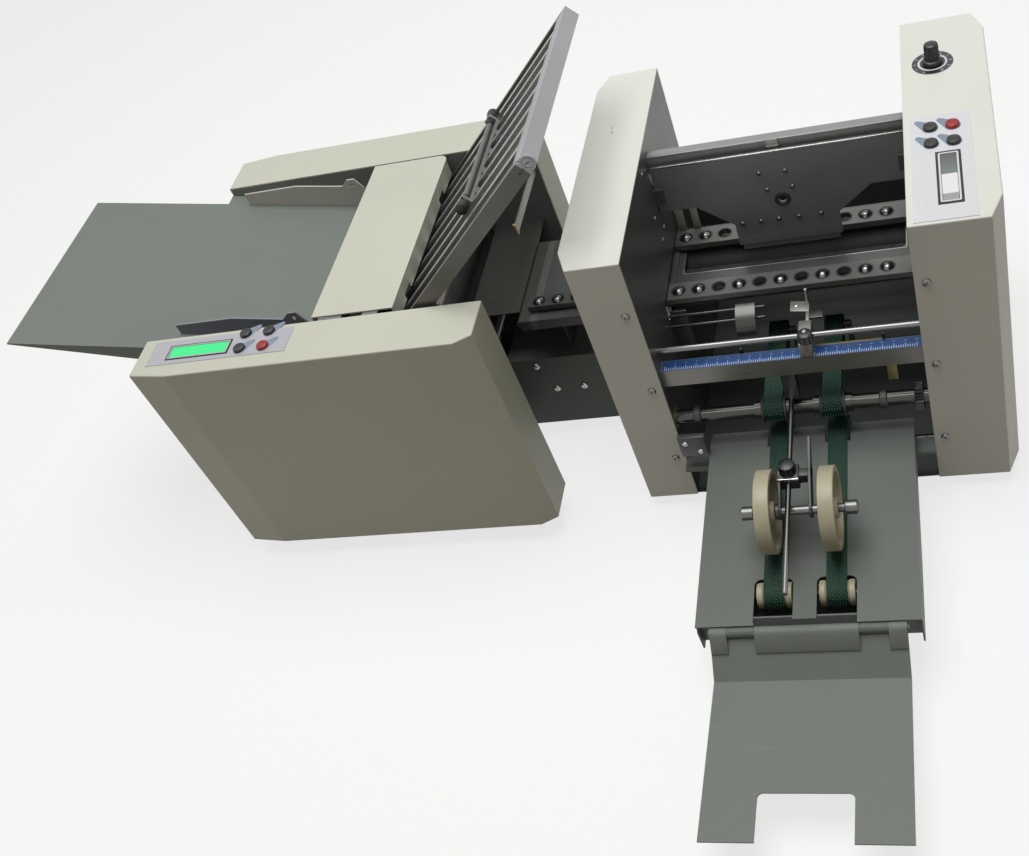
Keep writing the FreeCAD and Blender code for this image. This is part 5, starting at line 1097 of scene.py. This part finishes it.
class FOLDER_OT_stacker(bpy.types.Operator):
    """Make the stacker's wheels, axle, collars, carrier and knob"""
    bl_idname = "folder.stacker"
    bl_label = "Stacker"

    def execute(self, context):
        low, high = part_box("stacker_wheels")
        centre = (low + high) / 2
        radius = (high.z - low.z) / 2
        wheels = [moved(wheel_mesh(radius, 6.75 * MM),
                        along_x(centre.x + x * MM, centre)) for x in WHEEL_OFFSETS]
        piece(together(wheels), "stacker_wheel_pair", "stacker_wheels", "ivory",
              ("stacker_wheels",))
        length = high.x - low.x
        axle = spun([(0, 0), (3.6 * MM, 0), (4 * MM, 0.4 * MM), (4 * MM, length - 0.4 * MM),
                     (3.6 * MM, length), (0, length)], 32)
        metal = [moved(axle, along_x(low.x, centre))]
        for start in (low.x + 0.3 * MM, high.x - 11.3 * MM):
            metal.append(moved(collar_mesh(6.2 * MM, 11 * MM), along_x(start, centre)))
        for start in (WHEEL_OFFSETS[0] + 6.9, WHEEL_OFFSETS[1] - 6.9 - 4):
            metal.append(moved(collar_mesh(7.2 * MM, 4 * MM), along_x(centre.x + start * MM, centre)))
        piece(together(metal), "stacker_axle", "stacker_wheels", "collar")
        eye, pivot = (centre.y - NEAR_CASE[0].y) / MM, centre.z / MM
        carrier = [bar((612.1, -57, 122), (631, -39, 136), 1.0), bar((614, -52, 123.5), (641, -43, 134), 0.8)]
        for x in (612, 639):
            carrier.append(side_plate(arm_outline((-47.5, 129.4), (eye, pivot), 7.4), x, 2.5, 0.4))
        blade = [(-50, 123.5), (-50, 136), (-16.5, 145.8), (-14, 144.5), (-15.5, 140), (-39, 124)]
        carrier.append(side_plate(blade, 639, 2.5, 0.4))
        piece(together(carrier), "stacker_bracket", "stacker_carrier", "carrier",
              ("stacker_carrier",))
        strip = bar((611.9, -57.4, 133.2), (631.2, -55.6, 136.3), 0.4)
        piece(strip, "stacker_bracket_edge", "stacker_carrier", "screw")
        knob = fluted(7.8 * MM, 10 * MM, 14, 0.7 * MM)
        knob = moved(knob, Matrix.Translation(desk(621.5, -47.5, 135.9)))
        piece(knob, "stacker_knob", "stacker_carrier", "black")
        return {"FINISHED"}


class FOLDER_OT_tail_rollers(bpy.types.Operator):
    """Make the crowned tail rollers with their side discs"""
    bl_idname = "folder.tail_rollers"
    bl_label = "Tail rollers"

    def execute(self, context):
        low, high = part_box("belt_tail_roller")
        centre = (low + high) / 2
        radius = (high.z - low.z) / 2
        belt_x = [(LEFT_CASE[1].x + RIGHT_CASE[0].x) / 2 + x * MM for x in BELT_OFFSETS]
        half, belt = 15.5 * MM, 9.6 * MM
        rollers = []
        for x in belt_x:
            side = [(3 * MM, -half), (radius + 0.6 * MM, -half), (radius + 0.9 * MM, -belt - 1.2 * MM),
                    (radius - 0.3 * MM, -belt)]
            far_side = [(reach, -height) for reach, height in reversed(side)]
            ring = spun_ring(side + [(radius, 0)] + far_side, 64)
            rollers.append(moved(round_edges(ring, 0.5 * MM), along_x(x, centre)))
        piece(together(rollers), "tail_roller_pair", "belt_tail_roller", "ivory",
              ("belt_tail_roller",))
        length = high.x - low.x
        axle = plain_pin(3 * MM, length)
        piece(moved(axle, along_x(low.x, centre)), "tail_axle", "belt_tail_roller", "chrome")
        return {"FINISHED"}


class FOLDER_OT_stop_clamp(bpy.types.Operator):
    """Make the paper stop's clamp shaft with a flared knob at each end"""
    bl_idname = "folder.stop_clamp"
    bl_label = "Stop clamp"

    def execute(self, context):
        low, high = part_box("stop_clamp_shaft")
        length = high.y - low.y
        flare = [(0, 0), (4.8 * MM, 0), (6.1 * MM, 0.8 * MM), (6.4 * MM, 3 * MM), (5.6 * MM, 9 * MM),
                 (4.4 * MM, 14 * MM), (3.8 * MM, 18 * MM), (3.8 * MM, 19 * MM), (0, 19 * MM)]
        centre = (low + high) / 2
        ends = [moved(spun(flare, 40), at(centre.x, low.y, centre.z) @ turned_to((0, 1, 0))),
                moved(spun(flare, 40), at(centre.x, high.y, centre.z) @ turned_to((0, -1, 0)))]
        piece(together(ends), "stop_clamp_knobs", "stop_clamp_shaft", "black",
              ("stop_clamp_shaft",))
        shaft = plain_pin(3 * MM, length - 36 * MM)
        piece(moved(shaft, at(centre.x, low.y + 18 * MM, centre.z) @ turned_to((0, 1, 0))), "stop_clamp_bar",
              "stop_clamp_shaft", "collar")
        return {"FINISHED"}


class FOLDER_OT_fold_plate_ends(bpy.types.Operator):
    """Make the pivot boss of the fold plate's end bar and the tab on the exit arm"""
    bl_idname = "folder.fold_plate_ends"
    bl_label = "Fold plate ends"

    def execute(self, context):
        boss = spun([(0, 0), (7.2 * MM, 0), (7.2 * MM, 0.7 * MM), (6.8 * MM, 1.1 * MM), (5.6 * MM, 1.1 * MM),
                     (5.4 * MM, 0.5 * MM), (4.5 * MM, 0.5 * MM), (4.3 * MM, 1.2 * MM), (0, 1.2 * MM)], 48)
        face = desk(454.5, 54, 427)
        piece(moved(boss, Matrix.Translation(face) @ turned_to((0, -1, 0))), "plate_pivot_boss", "chassis",
              "fold_plate")
        # Painted shade: a thin dark strip across the boss's face stands for its slot.
        slot_shade = block((-2.6 * MM, -1.3 * MM, -0.5 * MM), (2.6 * MM, -1.1 * MM, 0.5 * MM), 0)
        slot_shade = moved(slot_shade, Matrix.Translation(face) @ Matrix.Rotation(-PLATE_ANGLE / 2, 4, "Y"))
        piece(slot_shade, "plate_pivot_slot_shade", "chassis", "ink")
        tab = bar((355.4, 195.4, 249), (359, 197.9, 262), 0.5)
        piece(tab, "exit_arm_tab", "chassis", "brass")
        return {"FINISHED"}


class FOLDER_OT_throat(bpy.types.Operator):
    """Make the fittings of the throat: posts, the top bar's edge and clip, and wall screws"""
    bl_idname = "folder.throat"
    bl_label = "Throat"

    def execute(self, context):
        posts = [bar((507, 243, 187), (515, 246, 236), 0.4), bar((523, 243, 187), (530, 246, 228), 0.4)]
        piece(together(posts), "throat_posts", "chassis", "guide")
        top = [bar((506.5, 206.4, 307.6), (744.5, 209.4, 309.2), 0.4),
               bar((619.8, 204.4, 300.4), (631.2, 205.6, 310.4), 0.4)]
        piece(together(top), "top_bar_edge", "chassis", "steel_plate")
        places = [desk(506, y, z) for y, z in ((178, 311), (197, 233), (177, 260), (181, 230))]
        screws(places, (1, 0, 0), settings()[1].small_screw, "throat_wall_screws", finish="collar")
        return {"FINISHED"}


class FOLDER_OT_bay(bpy.types.Operator):
    """Make the fittings of the delivery bay: guides, rods, discs, bearing block and gear"""
    bl_idname = "folder.bay"
    bl_label = "Delivery bay"

    def execute(self, context):
        plates = [bar((506.4, 127, 134), (523, 129, 183), 0.4), bar((507, 24, 85), (534, 30, 112), 1.2)]
        piece(together(plates), "bay_plates", "chassis", "wall")
        screws([desk(514, 24, 104), desk(527, 24, 92)], (0, -1, 0), 2.8 * MM, "bearing_block_screws")
        tongue = arc((130, 154), 30, 96, 160, 14) + arc((130, 154), 28.8, 160, 96, 14)
        piece(side_plate(tongue, 572, 19), "bay_tongue", "chassis", "shaft")
        rods = [rod((506, 124, 180), (600, 124, 180), 1.4), rod((506, 118, 172), (600, 118, 172), 1.4)]
        rods += [rod((582, 62.5, 174), (582, 62.5, 186), 1.6), rod((711, 61.8, 176), (711, 61.8, 188), 1.3)]
        piece(together(rods), "bay_rods", "chassis", "shaft")
        brasses = [bar((640, 60, 175.5), (712, 63.4, 181), 0.6), bar((711, 47, 142), (720, 52.5, 162), 0.6)]
        piece(together(brasses), "ruler_back_bar", "chassis", "dull_brass")
        turning = []
        centre = middle("belt_drive_roller")
        for x in (590.2, 611.6, 645.2, 666.6):
            turning.append(moved(collar_mesh(12.6 * MM, 2.2 * MM), along_x(desk(x, 0, 0).x, centre)))
        for x in (524, 700):
            turning.append(moved(collar_mesh(9.4 * MM, 7 * MM), along_x(desk(x, 0, 0).x, centre)))
        piece(together(turning), "belt_shaft_discs", "belt_drive_roller", "carrier")
        gear = fluted(13.6 * MM, 8 * MM, 22, 1.8 * MM, taper=0.995, dome=0.0)
        piece(moved(gear, along_x(desk(732, 0, 0).x, centre)), "belt_shaft_gear", "belt_drive_roller",
              "black")
        return {"FINISHED"}


class FOLDER_OT_hinge(bpy.types.Operator):
    """Make the flap's hinge leaves and the ends of its pin"""
    bl_idname = "folder.hinge"
    bl_label = "Flap hinge"

    def execute(self, context):
        along, across = Vector((-0.724, -0.69)), Vector((-0.69, 0.724))
        barrel = Vector(HINGE)
        corners = [barrel + along * down + across * rise
                   for down, rise in ((-1.5, 4.6), (0, 5.15), (3, 4.9), (18, 1.7), (18, 0.4), (1, 1.5))]
        leaves = [side_plate([tuple(corner) for corner in corners], x, wide, 0.15)
                  for x, wide in ((546.3, 15), (585.8, 89.4), (699.8, 15))]
        piece(together(leaves), "flap_hinge_leaves", "delivery_flap", "flap")
        pins = [rod((x, *HINGE), (x + 1.8, *HINGE), 2.4) for x in (544.6, 714.8)]
        piece(together(pins), "flap_pin_ends", "delivery_flap", "screw")
        return {"FINISHED"}


class FOLDER_OT_stage(bpy.types.Operator):
    """Make the floor, the lamps, the world and the camera"""
    bl_idname = "folder.stage"
    bl_label = "Stage"

    def execute(self, context):
        stage = settings()[2]
        scene = context.scene
        scene.view_settings.view_transform = "Standard"
        data = bpy.data.cameras.new("camera")
        data.lens, data.shift_x = stage.lens, stage.shift
        data.clip_start, data.clip_end = 0.01, 50
        camera = bpy.data.objects.new("camera", data)
        start = Vector((NEAR_CASE[0].x, NEAR_CASE[0].y, 0))
        camera.location = start + Vector(stage.place)
        camera.rotation_euler = Euler(stage.turn)
        scene.collection.objects.link(camera)
        scene.camera = camera
        self.lamp("key_lamp", (0.1, 0.25, 2.3), (0.06, 0.0, 0.1), stage.key_size, stage.key_power)
        self.floor(stage)
        self.surroundings(stage)
        return {"FINISHED"}

    def lamp(self, name, place, target, size, power):
        data = bpy.data.lights.new(name, "AREA")
        data.shape = "SQUARE"
        data.size, data.energy = size, power
        made = bpy.data.objects.new(name, data)
        made.location = place
        made.rotation_euler = (Vector(target) - Vector(place)).to_track_quat("-Z", "Y").to_euler()
        bpy.context.scene.collection.objects.link(made)

    def seen_rays(self, graph):
        """1 for what the camera sees straight, in a mirror or through glass."""
        path = graph.tree.nodes.new("ShaderNodeLightPath")
        kinds = ("Is Camera Ray", "Is Glossy Ray", "Is Transmission Ray")
        rays = [Value(graph, path.outputs[kind]) for kind in kinds]
        return (rays[0] + rays[1] + rays[2]) > 0.5

    def floor(self, stage):
        bm = bmesh.new()
        bmesh.ops.create_grid(bm, x_segments=2, y_segments=2, size=8)
        mesh = bpy.data.meshes.new("floor")
        bm.to_mesh(mesh)
        bm.free()
        made = bpy.data.objects.new("floor", mesh)
        bpy.context.scene.collection.objects.link(made)
        graph = Graph(bpy.data.materials.new("pale_floor"))
        white = (*stage.floor, 1)
        dull = graph.add("ShaderNodeBsdfDiffuse", {}, {"Color": (0.34, 0.31, 0.26, 1)})
        pale = graph.add("ShaderNodeBsdfDiffuse", {}, {"Color": white})
        glow = graph.add("ShaderNodeEmission", {}, {"Color": (1, 1, 1, 1), "Strength": 1.0})
        seen = graph.add("ShaderNodeMixShader", {}, {0: 0.75, 1: pale, 2: glow})
        both = graph.add("ShaderNodeMixShader", {}, {0: self.seen_rays(graph), 1: dull, 2: seen})
        graph.add("ShaderNodeOutputMaterial", {}, {0: both})
        mesh.materials.append(graph.owner)

    def surroundings(self, stage):
        world = bpy.data.worlds.new("studio")
        bpy.context.scene.world = world
        graph = Graph(world)
        dim = graph.add("ShaderNodeBackground", {}, {"Color": (*stage.warmth, 1), "Strength": stage.fill})
        white = graph.add("ShaderNodeBackground", {}, {"Color": (1, 1, 1, 1), "Strength": 1.0})
        both = graph.add("ShaderNodeMixShader", {}, {0: self.seen_rays(graph), 1: dim, 2: white})
        graph.add("ShaderNodeOutputWorld", {}, {0: both})


class FOLDER_PT_panel(bpy.types.Panel):
    """Lists the operators and the sizes and colours"""
    bl_idname = "FOLDER_PT_panel"
    bl_label = "Paper folding machine"
    bl_space_type = "VIEW_3D"
    bl_region_type = "UI"
    bl_category = "Folder"

    def draw(self, context):
        for operator in OPERATORS:
            self.layout.operator(operator.bl_idname)
        for group in settings():
            for name in type(group).__annotations__:
                self.layout.prop(group, name)


OPERATORS = (FOLDER_OT_stage, FOLDER_OT_finishes, FOLDER_OT_buttons, FOLDER_OT_speed_dial, FOLDER_OT_displays,
             FOLDER_OT_screws, FOLDER_OT_register, FOLDER_OT_scale, FOLDER_OT_rod_clamp, FOLDER_OT_stacker,
             FOLDER_OT_tail_rollers, FOLDER_OT_stop_clamp, FOLDER_OT_fold_plate_ends, FOLDER_OT_throat,
             FOLDER_OT_bay, FOLDER_OT_hinge)
GROUPS = (FolderColours, FolderSizes, FolderStage)


def register():
    for item in (*GROUPS, *OPERATORS, FOLDER_PT_panel):
        bpy.utils.register_class(item)
    bpy.types.Scene.folder_colours = PointerProperty(type=FolderColours)
    bpy.types.Scene.folder_sizes = PointerProperty(type=FolderSizes)
    bpy.types.Scene.folder_stage = PointerProperty(type=FolderStage)


def unregister():
    for name in ("folder_colours", "folder_sizes", "folder_stage"):
        delattr(bpy.types.Scene, name)
    for item in reversed((*GROUPS, *OPERATORS, FOLDER_PT_panel)):
        bpy.utils.unregister_class(item)


def main():
    register()
    for operator in OPERATORS:
        group, name = operator.bl_idname.split(".")
        getattr(getattr(bpy.ops, group), name)()
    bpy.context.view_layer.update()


if __name__ == "__main__":
    main()
